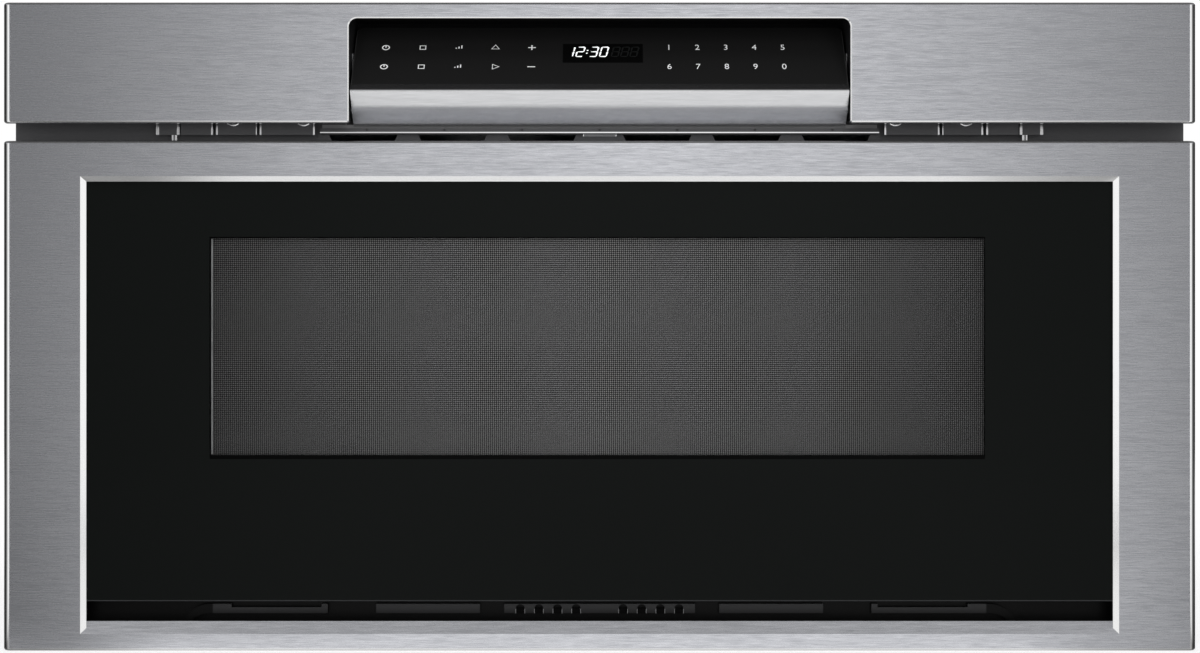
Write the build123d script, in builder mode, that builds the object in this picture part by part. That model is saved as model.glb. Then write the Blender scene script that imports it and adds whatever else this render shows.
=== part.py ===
from build123d import *
from math import atan2, cos, degrees, pi, radians, sin, sqrt, tan
import os

# A built-in microwave drawer. X runs across, Y back from the user, Z up, in millimetres.
# The origin is under the middle of the whole appliance, level with the drawer front's lower edge.
# "depth" below always means the distance behind the front face.

# ---- Driving dimensions: the front ---------------------------------------------------------------
front_width = 758.8
overall_depth = 680.0
door_height = 324.0
hand_gap = 11.4  # between the drawer front and the fascia
fascia_height = 76.6
skin = 1.2  # stainless sheet
front_depth = 26.0  # depth of the folded returns
side_bend = 5.0
edge_bend = 1.6

# ---- Driving dimensions: the housing -------------------------------------------------------------
body_width = 720.0
body_bottom = 35.0
body_top = 409.0
case_sheet = 0.8
base_sheet = 1.0
case_bend = 3.0
flange_gap = 2.0  # between the drawer front and the mounting flange
flange_sheet = 1.5
flange_width = 756.0
flange_bottom = 6.0
flange_top = 410.4
cabinet_screw_x = 369.0
cabinet_screw_heights = (60.0, 300.0)
cabinet_screw_hole = 2.5

# ---- Driving dimensions: the cavity and the drawer -----------------------------------------------
cavity_half_width = 258.0
cavity_floor = 105.0
cavity_roof = 297.0
cavity_back = 470.0  # depth
cavity_sheet = 0.8
cavity_corner = 8.0
drawer_travel = 390.0
bin_half_width = 247.0
bin_wall = 1.0
bin_bottom = 107.5
bin_top = 268.0
bin_back = 452.0  # depth
bin_rim = 6.0
bin_corner = 16.0
floor_glass = 5.0

# ---- Driving dimensions: the tilting console -----------------------------------------------------
cutout_width = 319.0
cutout_top_strip = 10.0
cutout_corner = 5.5
console_tilt = 45.0
console_side_gap = 0.8
console_bottom_gap = 0.5
console_top_gap = 0.8
console_thickness = 28.0
pivot_back = 24.3
pin_radius = 3.0
pin_reach = 4.5
running_gap = 0.05

# ---- Sheet, clearance and fixing sizes used all over ---------------------------------------------
clearance = 0.3
screw_radius = 2.0
screw_head_radius = 3.8
screw_head_height = 2.0
screw_hole = screw_radius + 0.1
case_screw_inset = 8.0
back_screw_heights = (72.0, 210.0, 345.0)
base_screw_x = (-200.0, 0.0, 200.0)

# ---- Places worked out from the sizes above ------------------------------------------------------
front_y = -overall_depth / 2
fascia_bottom = door_height + hand_gap
front_height = fascia_bottom + fascia_height
flange_depth = front_depth + flange_gap
flange_back = flange_depth + flange_sheet
body_half = body_width / 2
cutout_top = front_height - cutout_top_strip
cutout_height = cutout_top - fascia_bottom


def facing_front(depth):
    """A plane that faces the user, that far behind the front face; extruding by -t goes back."""
    return Plane.XZ.offset(-(front_y + depth))


def at_depth(depth):
    """The Y of a place that far behind the front face."""
    return front_y + depth


def pressed_block(width, height, middle, start, depth, bend, edge):
    """A block with bent front edges, as wide and high as a pressed steel front."""
    with BuildPart() as block:
        with BuildSketch(facing_front(start)):
            with Locations((0, middle)):
                Rectangle(width, height)
        extrude(amount=-depth)
        fillet(block.edges().filter_by(Axis.Z).group_by(Axis.Y)[0], bend)
        fillet(block.edges().filter_by(Axis.X).group_by(Axis.Y)[0], edge)
    return block.part


def pressed_skin(width, height, middle):
    """A stainless front: one sheet with its four sides folded back."""
    outside = pressed_block(width, height, middle, 0, front_depth, side_bend, edge_bend)
    inside = pressed_block(
        width - 2 * skin,
        height - 2 * skin,
        middle,
        skin,
        front_depth,
        side_bend - skin,
        edge_bend - skin,
    )
    return outside - inside


os.makedirs("parts", exist_ok=True)

# ==== Housing =====================================================================================

# ---- Base pan: a folded tray that stands on the cabinet shelf ------------------------------------
pan_wall = 16.0
pan_slot_length = 70.0
pan_slot_width = 5.0
pan_slot_inset = 78.0  # from the back
pan_slot_columns = 3
pan_slot_rows = 4
pan_column_pitch = 180.0
pan_row_pitch = 16.0
rack_notch_half = 16.0
body_depth = overall_depth - screw_head_height - flange_back
body_back = flange_back + body_depth  # depth
body_middle = at_depth(flange_back) + body_depth / 2
cover_bottom = body_bottom + base_sheet
pan_inset = case_sheet + clearance

with BuildPart() as base_pan:
    with BuildSketch(Plane.XY.offset(body_bottom)):
        with Locations((0, body_middle)):
            Rectangle(body_width, body_depth)
    extrude(amount=base_sheet)
    with BuildSketch(Plane.XY.offset(body_bottom + base_sheet)):
        with Locations((0, body_middle)):
            Rectangle(body_width - 2 * pan_inset, body_depth - 2 * pan_inset)
            Rectangle(
                body_width - 2 * (pan_inset + base_sheet),
                body_depth - 2 * (pan_inset + base_sheet),
                mode=Mode.SUBTRACT,
            )
    extrude(amount=pan_wall)
    with BuildSketch(Plane.XY.offset(body_bottom)):
        with Locations((0, at_depth(body_back - pan_slot_inset))):
            with GridLocations(pan_column_pitch, pan_row_pitch, pan_slot_columns, pan_slot_rows):
                SlotOverall(pan_slot_length, pan_slot_width)
    extrude(amount=base_sheet, mode=Mode.SUBTRACT)
    with BuildSketch(facing_front(body_back)):
        for x in base_screw_x:
            with Locations((x, cover_bottom + case_screw_inset)):
                Circle(screw_hole)
    extrude(amount=4 * base_sheet, mode=Mode.SUBTRACT)
    # The drive rack comes through the pan's front wall.
    with BuildSketch(facing_front(flange_back)):
        with Locations((0, cover_bottom)):
            Rectangle(2 * rack_notch_half, 2 * pan_wall, align=(Align.CENTER, Align.MIN))
    extrude(amount=-(pan_inset + 2 * base_sheet), mode=Mode.SUBTRACT)
base_pan.part.label = "base_pan"
export_step(base_pan.part, "parts/base_pan.step")

# ---- Outer cover: top and sides in one sheet, with a flange turned in at the back ----------------
rear_flange = 16.0
cover_length = body_depth - case_sheet
back_start = flange_back + cover_length
vent_slot_length = 60.0
vent_slot_width = 5.0
vent_pitch = 13.0
vent_rows = 7
side_vent_inset = 103.0  # from the back
side_vent_height = 120.0
bead_rise = 0.8
bead_length = 420.0
bead_width = 12.0
bead_pitch = 200.0
bead_count = 3
flange_base = cover_bottom + pan_wall + 1

with BuildPart() as outer_cover:
    with BuildSketch(facing_front(flange_back)):
        with Locations((0, cover_bottom)):
            Rectangle(body_width, body_top - cover_bottom, align=(Align.CENTER, Align.MIN))
    extrude(amount=-cover_length)
    fillet(outer_cover.edges().filter_by(Axis.Y).group_by(Axis.Z)[-1], case_bend)
    with BuildSketch(Plane.XY.offset(body_top)):
        with Locations((0, body_middle)):
            with GridLocations(bead_pitch, 1, bead_count, 1):
                SlotOverall(bead_length, bead_width, rotation=90)
    extrude(amount=bead_rise)
    with BuildSketch(facing_front(flange_back)) as cover_inside:
        with Locations((0, cover_bottom)):
            Rectangle(
                body_width - 2 * case_sheet,
                body_top - case_sheet - cover_bottom,
                align=(Align.CENTER, Align.MIN),
            )
        fillet(cover_inside.vertices().group_by(Axis.Y)[-1], case_bend - case_sheet)
    extrude(amount=-cover_length, mode=Mode.SUBTRACT)
    with BuildSketch(facing_front(back_start - case_sheet)):
        with Locations((0, flange_base)):
            Rectangle(
                body_width - 2 * case_sheet,
                body_top - case_sheet - flange_base,
                align=(Align.CENTER, Align.MIN),
            )
            Rectangle(
                body_width - 2 * rear_flange,
                body_top - rear_flange - flange_base,
                align=(Align.CENTER, Align.MIN),
                mode=Mode.SUBTRACT,
            )
        for side in (-1, 1):
            for height in back_screw_heights:
                with Locations((side * (body_half - case_screw_inset), height)):
                    Circle(screw_hole, mode=Mode.SUBTRACT)
    extrude(amount=-case_sheet)
    with BuildSketch(Plane.YZ):
        with Locations((at_depth(body_back - side_vent_inset), side_vent_height)):
            with GridLocations(1, vent_pitch, 1, vent_rows):
                SlotOverall(vent_slot_length, vent_slot_width)
    extrude(amount=body_half, both=True, mode=Mode.SUBTRACT)
outer_cover.part.label = "outer_cover"
export_step(outer_cover.part, "parts/outer_cover.step")

# ---- Fan place, shared by the back panel's grille and the fan ------------------------------------
fan_x = 210.0
fan_height = 215.0
fan_radius = 56.0
fan_tip_gap = 4.0
grille_slot_width = 5.0
grille_pitch = 11.0
grille_rows = 4  # above and below the middle one

# ---- Cord gland place, shared by the back panel and the gland ------------------------------------
gland_x = -290.0
gland_height = 80.0
gland_radius = 9.0

# ---- Back panel: a flat sheet with the fan's grille and an air outlet ----------------------------
outlet_x = -150.0
outlet_height = 330.0
outlet_length = 180.0
outlet_rows = 5
with BuildPart() as back_panel:
    with BuildSketch(facing_front(back_start)):
        with Locations((0, cover_bottom)):
            Rectangle(body_width, body_top - cover_bottom, align=(Align.CENTER, Align.MIN))
    extrude(amount=-case_sheet)
    fillet(back_panel.edges().filter_by(Axis.Y).group_by(Axis.Z)[-1], case_bend)
    with BuildSketch(facing_front(back_start)):
        # Slots whose ends follow the fan's circle.
        for row in range(-grille_rows, grille_rows + 1):
            slot_height = row * grille_pitch
            half_chord = sqrt(fan_radius**2 - slot_height**2)
            with Locations((fan_x, fan_height + slot_height)):
                SlotOverall(2 * half_chord, grille_slot_width)
        with Locations((outlet_x, outlet_height)):
            with GridLocations(1, vent_pitch, 1, outlet_rows):
                SlotOverall(outlet_length, vent_slot_width)
        with Locations((gland_x, gland_height)):
            Circle(gland_radius)
        for side in (-1, 1):
            for height in back_screw_heights:
                with Locations((side * (body_half - case_screw_inset), height)):
                    Circle(screw_hole)
        for x in base_screw_x:
            with Locations((x, cover_bottom + case_screw_inset)):
                Circle(screw_hole)
    extrude(amount=-case_sheet, mode=Mode.SUBTRACT)
back_panel.part.label = "back_panel"
export_step(back_panel.part, "parts/back_panel.step")

# ---- Cord gland: the bushing that the supply lead would come out of ------------------------------
gland_lip = 1.4
gland_lip_width = 3.0
gland_seat_gap = 0.1
gland_throat = 5.0
gland_length = 8.0
with BuildPart() as cord_gland:
    with BuildSketch(facing_front(back_start - gland_length)):
        with Locations((gland_x, gland_height)):
            Circle(gland_radius - clearance / 2)
    extrude(amount=-gland_length - case_sheet)
    with BuildSketch(facing_front(back_start - gland_lip - gland_seat_gap)):
        with Locations((gland_x, gland_height)):
            Circle(gland_radius + gland_lip_width)
    extrude(amount=-gland_lip)
    with BuildSketch(facing_front(back_start - gland_length)):
        with Locations((gland_x, gland_height)):
            Circle(gland_throat)
    extrude(amount=-gland_length - case_sheet, mode=Mode.SUBTRACT)
cord_gland.part.label = "cord_gland"
export_step(cord_gland.part, "parts/cord_gland.step")

# ---- Console cradle sizes, shared by the mounting flange -----------------------------------------
cradle_wall = 4.0
cradle_ease = 0.6
cradle_drop = 1.2
cradle_half = cutout_width / 2 + cradle_wall + cradle_ease
cradle_floor = fascia_bottom - cradle_drop

# ---- Slide sizes, shared by the mounting flange --------------------------------------------------
slide_height = 45.0
slide_middle = 170.0
slide_start_x = 292.0
slide_sheet = 1.2
slide_width = 13.0
slide_length = 420.0
slide_start = flange_back + pan_inset + base_sheet + clearance  # depth
slide_window_margin = 3.5
arm_sheet = 1.6
arm_window_gap = 0.5

# ---- Vent sizes, shared by the flange, grille and air duct ---------------------------------------
vent_half_width = 178.0
vent_rise = 6.0  # the slots' top, above the drawer front
vent_top = door_height + vent_rise
vent_slot_height = 14.0
vent_slot_top = 44.4
vent_slot_taper = 3.4
vent_slot_pitch = 57.8
vent_centre_gap = 30.2  # between the two middle slots
vent_slots_per_side = 3
flange_vent_overlap = 2.0
flange_vent_margin = 1.7

# ---- Rack sizes, shared by the flange window -----------------------------------------------------
rack_bottom = 38.5
rack_height = 9.5
rack_window_half = 13.0
rack_window_margin = 1.5

# ---- Interlock place, shared by the flange, the switches and the drawer's fingers ----------------
finger_x = 332.0
finger_height = 255.0
finger_half = 3.0

# ---- Mounting flange: the frame that is screwed to the cabinet front -----------------------------
with BuildPart() as front_flange:
    with BuildSketch(facing_front(flange_depth)):
        with Locations((0, flange_bottom)):
            Rectangle(
                flange_width, flange_top - flange_bottom, align=(Align.CENTER, Align.MIN)
            )
        with Locations((0, cradle_floor - clearance)):
            Rectangle(
                2 * (cradle_half + clearance),
                flange_top - cradle_floor + 1,
                align=(Align.CENTER, Align.MIN),
                mode=Mode.SUBTRACT,
            )
        with Locations((0, (cavity_floor + cavity_roof) / 2)):
            RectangleRounded(
                2 * cavity_half_width,
                cavity_roof - cavity_floor,
                cavity_corner,
                mode=Mode.SUBTRACT,
            )
        with Locations((0, vent_top)):
            Rectangle(
                2 * (vent_half_width - flange_vent_overlap),
                vent_slot_height,
                align=(Align.CENTER, Align.MAX),
                mode=Mode.SUBTRACT,
            )
        for side in (-1, 1):
            with Locations((side * (slide_start_x + slide_width / 2), slide_middle)):
                Rectangle(
                    slide_width + 2 * (arm_sheet + arm_window_gap),
                    slide_height + 2 * slide_window_margin,
                    mode=Mode.SUBTRACT,
                )
            with Locations((side * finger_x, finger_height)):
                Rectangle(4 * finger_half, 4 * finger_half, mode=Mode.SUBTRACT)
            for height in cabinet_screw_heights:
                with Locations((side * cabinet_screw_x, height)):
                    Circle(cabinet_screw_hole, mode=Mode.SUBTRACT)
        with Locations((0, rack_bottom + rack_height / 2)):
            Rectangle(
                2 * rack_window_half, rack_height + 2 * rack_window_margin, mode=Mode.SUBTRACT
            )
    extrude(amount=-flange_sheet)
front_flange.part.label = "front_flange"
export_step(front_flange.part, "parts/front_flange.step")

# ---- Cavity shell: the oven's steel box, open to the front and over the antenna ------------------
cavity_flange = 5.5
antenna_depth = 250.0
antenna_well_radius = 96.0
antenna_hole_radius = 88.0
lamp_depth = 400.0
lamp_height = 262.0
lamp_slots = 7
lamp_slot_pitch = 6.0
lamp_slot_length = 26.0
lamp_slot_width = 3.0

cavity_height = cavity_roof - cavity_floor
cavity_centre = (cavity_floor + cavity_roof) / 2
with BuildPart() as cavity_shell:
    with BuildSketch(facing_front(flange_back)):
        with Locations((0, cavity_centre)):
            RectangleRounded(
                2 * (cavity_half_width + cavity_sheet),
                cavity_height + 2 * cavity_sheet,
                cavity_corner + cavity_sheet,
            )
    extrude(amount=-(cavity_back + cavity_sheet - flange_back))
    with BuildSketch(facing_front(flange_back)):
        with Locations((0, cavity_centre)):
            RectangleRounded(
                2 * (cavity_half_width + cavity_flange),
                cavity_height + 2 * cavity_flange,
                cavity_corner + cavity_flange,
            )
    extrude(amount=-cavity_sheet)
    with BuildSketch(facing_front(flange_back)):
        with Locations((0, cavity_centre)):
            RectangleRounded(2 * cavity_half_width, cavity_height, cavity_corner)
    extrude(amount=-(cavity_back - flange_back), mode=Mode.SUBTRACT)
    with BuildSketch(Plane.XY.offset(cavity_floor)):
        with Locations((0, at_depth(antenna_depth))):
            Circle(antenna_hole_radius)
    extrude(amount=-cavity_sheet, mode=Mode.SUBTRACT)
    # Air slots beside the lamp, in the right wall.
    with BuildSketch(Plane.YZ.offset(cavity_half_width)):
        with Locations((at_depth(lamp_depth), lamp_height)):
            with GridLocations(lamp_slot_pitch, 1, lamp_slots, 1):
                SlotOverall(lamp_slot_length, lamp_slot_width, rotation=90)
    extrude(amount=cavity_sheet, mode=Mode.SUBTRACT)
cavity_shell.part.label = "cavity_shell"
export_step(cavity_shell.part, "parts/cavity_shell.step")

# ---- Antenna cover: the mica plate over the antenna well -----------------------------------------
cover_plate = 1.2
cover_side = 2 * antenna_well_radius + 8
cover_corner = 20.0
with BuildPart() as antenna_cover:
    with BuildSketch(Plane.XY.offset(cavity_floor)):
        with Locations((0, at_depth(antenna_depth))):
            RectangleRounded(cover_side, cover_side, cover_corner)
    extrude(amount=cover_plate)
antenna_cover.part.label = "antenna_cover"
export_step(antenna_cover.part, "parts/antenna_cover.step")

# ---- Air duct: carries warm air over the cavity to the slots above the drawer front --------------
duct_sheet = 0.8
duct_start = flange_back + cavity_sheet + clearance
duct_mouth = 40.0
duct_flare = 150.0
duct_rear_half = 120.0
duct_length = 430.0
duct_floor = cavity_roof + cavity_sheet
duct_top = cradle_floor - clearance
duct_neck = duct_start + duct_mouth + duct_flare  # depth

with BuildPart() as air_duct:
    with BuildSketch(Plane.XY.offset(duct_floor)):
        with BuildLine():
            Polyline(
                (-vent_half_width, at_depth(duct_start)),
                (vent_half_width, at_depth(duct_start)),
                (vent_half_width, at_depth(duct_start + duct_mouth)),
                (duct_rear_half, at_depth(duct_neck)),
                (duct_rear_half, at_depth(duct_start + duct_length)),
                (-duct_rear_half, at_depth(duct_start + duct_length)),
                (-duct_rear_half, at_depth(duct_neck)),
                (-vent_half_width, at_depth(duct_start + duct_mouth)),
                close=True,
            )
        make_face()
    extrude(amount=duct_top - duct_floor)
    duct_ends = air_duct.faces().filter_by(Axis.Y).sort_by(Axis.Y)
    duct_base = air_duct.faces().sort_by(Axis.Z)[0]
    offset(amount=-duct_sheet, openings=[duct_ends[0], duct_ends[-1], duct_base])
air_duct.part.label = "air_duct"
export_step(air_duct.part, "parts/air_duct.step")

# ---- Vent grille: six tapered slots seen in the gap above the drawer front -----------------------
grille_sheet = 1.0
grille_margin = 4.0
grille_bottom = vent_top - vent_slot_height - grille_margin
with BuildPart() as vent_grille:
    with BuildSketch(facing_front(flange_depth - grille_sheet)):
        with Locations((0, grille_bottom)):
            Rectangle(
                2 * (vent_half_width + grille_margin),
                vent_top + flange_vent_margin - grille_bottom,
                align=(Align.CENTER, Align.MIN),
            )
        for side in (-1, 1):
            for step in range(vent_slots_per_side):
                slot_middle = side * (
                    (vent_centre_gap + vent_slot_top) / 2 + step * vent_slot_pitch
                )
                slot_half = vent_slot_top / 2
                slot_foot = slot_half - 2 * vent_slot_taper
                with BuildLine():
                    Polyline(
                        (slot_middle - slot_half, vent_top),
                        (slot_middle + slot_half, vent_top),
                        (slot_middle + slot_foot, vent_top - vent_slot_height),
                        (slot_middle - slot_foot, vent_top - vent_slot_height),
                        close=True,
                    )
                make_face(mode=Mode.SUBTRACT)
    extrude(amount=-grille_sheet)
vent_grille.part.label = "vent_grille"
export_step(vent_grille.part, "parts/vent_grille.step")

# ---- Vent baffle: the folded strip in front of the grille, with its row of rivet holes -----------
baffle_front = 20.5
baffle_sheet = 1.0
baffle_half = 180.0
baffle_bottom = vent_top + 0.5
baffle_rise = 3.2
baffle_bend = 0.6
baffle_back = flange_depth - grille_sheet
baffle_holes = 7
baffle_hole_pitch = 50.0
baffle_hole_rise = 2.2
baffle_hole_radius = 0.8
with BuildPart() as vent_baffle:
    with BuildSketch(Plane.YZ):
        with BuildLine():
            Polyline(
                (at_depth(baffle_back), baffle_bottom),
                (at_depth(baffle_front), baffle_bottom),
                (at_depth(baffle_front), baffle_bottom + baffle_rise),
                (at_depth(baffle_front + baffle_sheet), baffle_bottom + baffle_rise),
                (at_depth(baffle_front + baffle_sheet), baffle_bottom + baffle_sheet),
                (at_depth(baffle_back), baffle_bottom + baffle_sheet),
                close=True,
            )
        make_face()
    extrude(amount=baffle_half, both=True)
    folded_edge = vent_baffle.edges().filter_by(Axis.X).group_by(Axis.Z)[0].sort_by(Axis.Y)[0]
    fillet(folded_edge, baffle_bend)
    with BuildSketch(facing_front(baffle_front)):
        with Locations((0, baffle_bottom + baffle_hole_rise)):
            with GridLocations(baffle_hole_pitch, 1, baffle_holes, 1):
                Circle(baffle_hole_radius)
    extrude(amount=-baffle_sheet, mode=Mode.SUBTRACT)
vent_baffle.part.label = "vent_baffle"
export_step(vent_baffle.part, "parts/vent_baffle.step")

# ==== Fascia ======================================================================================

# ---- Fascia: the stainless top panel, cut out for the console ------------------------------------
fascia_bottom_fold = 6.0
fascia_relief = 3.0  # cut off the side returns' lower ends
cutout_edge = 0.8
with BuildPart() as fascia:
    add(pressed_skin(front_width, fascia_height, fascia_bottom + fascia_height / 2))
    # The lower fold is short, and the side returns stop above it, so that the brackets hang behind.
    with BuildSketch(facing_front(fascia_bottom_fold)):
        with Locations((0, fascia_bottom)):
            Rectangle(front_width + 2 * skin, 2 * fascia_relief)
    extrude(amount=-front_depth, mode=Mode.SUBTRACT)
    with BuildSketch(facing_front(0)):
        with Locations((0, fascia_bottom)):
            Rectangle(cutout_width, cutout_height, align=(Align.CENTER, Align.MIN))
    extrude(amount=-front_depth, mode=Mode.SUBTRACT)
    cutout_corners = (
        fascia.edges()
        .filter_by(Axis.Y)
        .filter_by(lambda e: abs(abs(e.center().X) - cutout_width / 2) < 0.01)
        .group_by(Axis.Z)[-1]
    )
    fillet(cutout_corners, cutout_corner)
    cutout_rim = (
        fascia.edges()
        .group_by(Axis.Y)[0]
        .filter_by(lambda e: abs(e.center().X) < cutout_width / 2 + 1)
        .filter_by(lambda e: fascia_bottom + 5 < e.center().Z < cutout_top + 1)
    )
    chamfer(cutout_rim, cutout_edge)
fascia.part.label = "fascia"
export_step(fascia.part, "parts/fascia.step")

# ---- Fascia brackets: comb-edged sheets that tie the fascia to the flange ------------------------
bracket_depth = 19.0
bracket_sheet = 1.2
bracket_bottom = door_height + 5.3
bracket_top = front_height - skin - 6
bracket_start = baffle_half + 3.3
tab_widths = (35.4, 26.2, 20.8, 15.0)
tab_slits = (1.9, 2.0, 0.8)
tab_height = 9.0
foot_rise = 3.0
bracket_width = sum(tab_widths) + sum(tab_slits)
with BuildPart() as fascia_brackets:
    with BuildSketch(facing_front(bracket_depth)):
        with Locations((bracket_start, bracket_bottom)):
            Rectangle(
                bracket_width, bracket_top - bracket_bottom, align=(Align.MIN, Align.MIN)
            )
        slit_x = bracket_start
        for tab, slit in zip(tab_widths, tab_slits):
            slit_x += tab
            with Locations((slit_x, bracket_bottom)):
                Rectangle(slit, tab_height, align=(Align.MIN, Align.MIN), mode=Mode.SUBTRACT)
            slit_x += slit
    extrude(amount=-bracket_sheet)
    # A shelf ties the fascia to the flange, and a lower foot steadies it.
    with BuildSketch(Plane.XY.offset(bracket_top)):
        with Locations((bracket_start, at_depth(skin))):
            Rectangle(bracket_width, flange_depth - skin, align=(Align.MIN, Align.MIN))
    extrude(amount=-bracket_sheet)
    with BuildSketch(Plane.XY.offset(bracket_bottom + tab_height + foot_rise)):
        with Locations((bracket_start, at_depth(bracket_depth))):
            Rectangle(
                bracket_width, flange_depth - bracket_depth, align=(Align.MIN, Align.MIN)
            )
    extrude(amount=-bracket_sheet)
    mirror(about=Plane.YZ)
fascia_brackets.part.label = "fascia_brackets"
export_step(fascia_brackets.part, "parts/fascia_brackets.step")

# ==== Console: a slab that tilts out of the fascia ================================================

# The pivot is placed so that the slab's lower front edge stays in the front face at both ends of its tilt.
closed_bottom = fascia_bottom + console_bottom_gap
console_height = cutout_top - console_top_gap - closed_bottom
console_half = cutout_width / 2 - console_side_gap
pivot_up = pivot_back * tan(radians(console_tilt / 2))
pivot_y = at_depth(pivot_back)
pivot_z = closed_bottom + pivot_up
tilt = radians(console_tilt)
slab_out = Vector(0, -cos(tilt), sin(tilt))  # the way the glass faces
slab_up = Vector(0, sin(tilt), cos(tilt))
apex = Vector(0, pivot_y, pivot_z) + slab_out * pivot_back - slab_up * pivot_up


def slab_plane(inward=0.0):
    """A plane parallel to the tilted glass; local Y runs up the slab from its lower edge."""
    return Plane(origin=apex - slab_out * inward, x_dir=(1, 0, 0), z_dir=slab_out)


def slab_section(x):
    """A cross-section of the slab: local X goes in from the glass, local Y up the slab."""
    return Plane(origin=apex + Vector(x, 0, 0), x_dir=-slab_out, z_dir=(1, 0, 0))


# ---- Console glass: the black touch surface ------------------------------------------------------
glass_start = 6.2  # above the slab's lower edge
glass_height = console_height - glass_start
console_glass_thickness = 3.0
glass_edge = 0.4
with BuildPart() as console_glass:
    with BuildSketch(slab_plane()) as touch_outline:
        with Locations((0, glass_start)):
            Rectangle(2 * console_half, glass_height, align=(Align.CENTER, Align.MIN))
        # The upper corners follow the cut-out's.
        fillet(touch_outline.vertices().group_by(Axis.Y)[-1], cutout_corner - console_side_gap)
    extrude(amount=-console_glass_thickness)
    glass_face = console_glass.faces().sort_by(Axis((0, 0, 0), slab_out))[-1]
    chamfer(glass_face.edges(), glass_edge)
console_glass.part.label = "console_glass"
export_step(console_glass.part, "parts/console_glass.step")

# ---- Console apron: the stainless lip that wraps the slab's lower edge ---------------------------
apron_sheet = 1.0
apron_flat = 12.0
apron_rise = 1.0
apron_bend = 1.6
apron_lap = 0.2  # over the glass's lower edge
apron_back = console_thickness + 2.0
apron_sweep = apron_back - apron_flat
apron_radius = (apron_sweep**2 + apron_rise**2) / (2 * apron_rise)
apron_turn = degrees(atan2(apron_sweep, apron_radius - apron_rise))
with BuildPart() as console_apron:
    with BuildSketch(slab_section(-console_half)):
        with BuildLine():
            strip = Line((0, glass_start - apron_lap), (0, apron_bend))
            bend = RadiusArc(strip @ 1, (apron_bend, 0), -apron_bend)
            flat = Line(bend @ 1, (apron_flat, 0))
            JernArc(flat @ 1, (1, 0), apron_radius, apron_turn)
            offset(amount=apron_sheet, side=Side.LEFT, kind=Kind.INTERSECTION)
        make_face()
    extrude(amount=2 * console_half)
console_apron.part.label = "console_apron"
export_step(console_apron.part, "parts/console_apron.step")

# ---- Console body: the black moulded tray that carries the glass, with its hinge bosses ----------
body_shell = 2.0
body_inset = 1.0  # behind the glass's ends
body_top_inset = 0.5
body_back_bend = 4.0
boss_wall = 2.5
boss_length = 8.0
body_side = console_half - body_inset
body_height = glass_height - body_top_inset
body_thickness = console_thickness - console_glass_thickness
with BuildPart() as console_body:
    with BuildSketch(slab_plane(console_glass_thickness)) as tray_outline:
        with Locations((0, glass_start)):
            Rectangle(2 * body_side, body_height, align=(Align.CENTER, Align.MIN))
        fillet(tray_outline.vertices().group_by(Axis.Y)[-1], cutout_corner - console_side_gap)
    extrude(amount=-body_thickness)
    body_back_edge = console_body.edges().filter_by(Axis.X).group_by(Axis.Y)[-1]
    fillet(body_back_edge, body_back_bend)
    with BuildSketch(slab_plane(console_glass_thickness)):
        with Locations((0, glass_start + body_shell)):
            Rectangle(
                2 * (body_side - body_shell),
                body_height - 2 * body_shell,
                align=(Align.CENTER, Align.MIN),
            )
    extrude(amount=-(body_thickness - body_shell), mode=Mode.SUBTRACT)
    # Bosses at both ends hold the hinge pins.
    for side in (-1, 1):
        with BuildSketch(Plane.YZ.offset(side * body_side)):
            with Locations((pivot_y, pivot_z)):
                Circle(pin_radius + boss_wall)
        extrude(amount=-side * boss_length)
        with BuildSketch(Plane.YZ.offset(side * body_side)):
            with Locations((pivot_y, pivot_z)):
                Circle(pin_radius)
        extrude(amount=-side * boss_length, mode=Mode.SUBTRACT)
console_body.part.label = "console_body"
export_step(console_body.part, "parts/console_body.step")

# ---- Console hinge pins --------------------------------------------------------------------------
pin_tip = 0.5
with BuildPart() as console_hinge_pins:
    with BuildSketch(Plane.YZ.offset(body_side - boss_length)):
        with Locations((pivot_y, pivot_z)):
            Circle(pin_radius)
    extrude(amount=boss_length + body_inset + console_side_gap + pin_reach)
    chamfer(console_hinge_pins.edges().group_by(Axis.X)[-1], pin_tip)
    mirror(about=Plane.YZ)
console_hinge_pins.part.label = "console_hinge_pins"
export_step(console_hinge_pins.part, "parts/console_hinge_pins.step")

# ---- Console display: the clock module behind its window -----------------------------------------
display_x = 1.5
display_up = 38.5
display_width = 54.0
display_height = 21.0
display_thickness = 5.0
display_gap = 0.1
with BuildPart() as console_display:
    with BuildSketch(slab_plane(console_glass_thickness + display_gap)):
        with Locations((display_x, display_up)):
            Rectangle(display_width, display_height)
    extrude(amount=-display_thickness)
console_display.part.label = "console_display"
export_step(console_display.part, "parts/console_display.step")

# ---- Touch board: the circuit board behind the glass, with its chips and connector ---------------
board_sheet = 1.6
touch_board_in = console_glass_thickness + display_gap + display_thickness
touch_board_start = glass_start + body_shell + 1
touch_board_height = 46.0
chip_side = 14.0
chip_height = 3.0
chip_places = ((-60.0, 34.0), (40.0, 30.0))
ribbon_socket = (10.0, 24.0)
ribbon_place = (-110.0, 30.0)
with BuildPart() as touch_board:
    with BuildSketch(slab_plane(touch_board_in)):
        with Locations((0, touch_board_start)):
            Rectangle(
                2 * (body_side - body_shell - boss_length),
                touch_board_height,
                align=(Align.CENTER, Align.MIN),
            )
    extrude(amount=-board_sheet)
    with BuildSketch(slab_plane(touch_board_in + board_sheet)):
        with Locations(*chip_places):
            Rectangle(chip_side, chip_side)
        with Locations(ribbon_place):
            Rectangle(*ribbon_socket)
    extrude(amount=-chip_height)
touch_board.part.label = "touch_board"
export_step(touch_board.part, "parts/touch_board.step")

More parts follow.
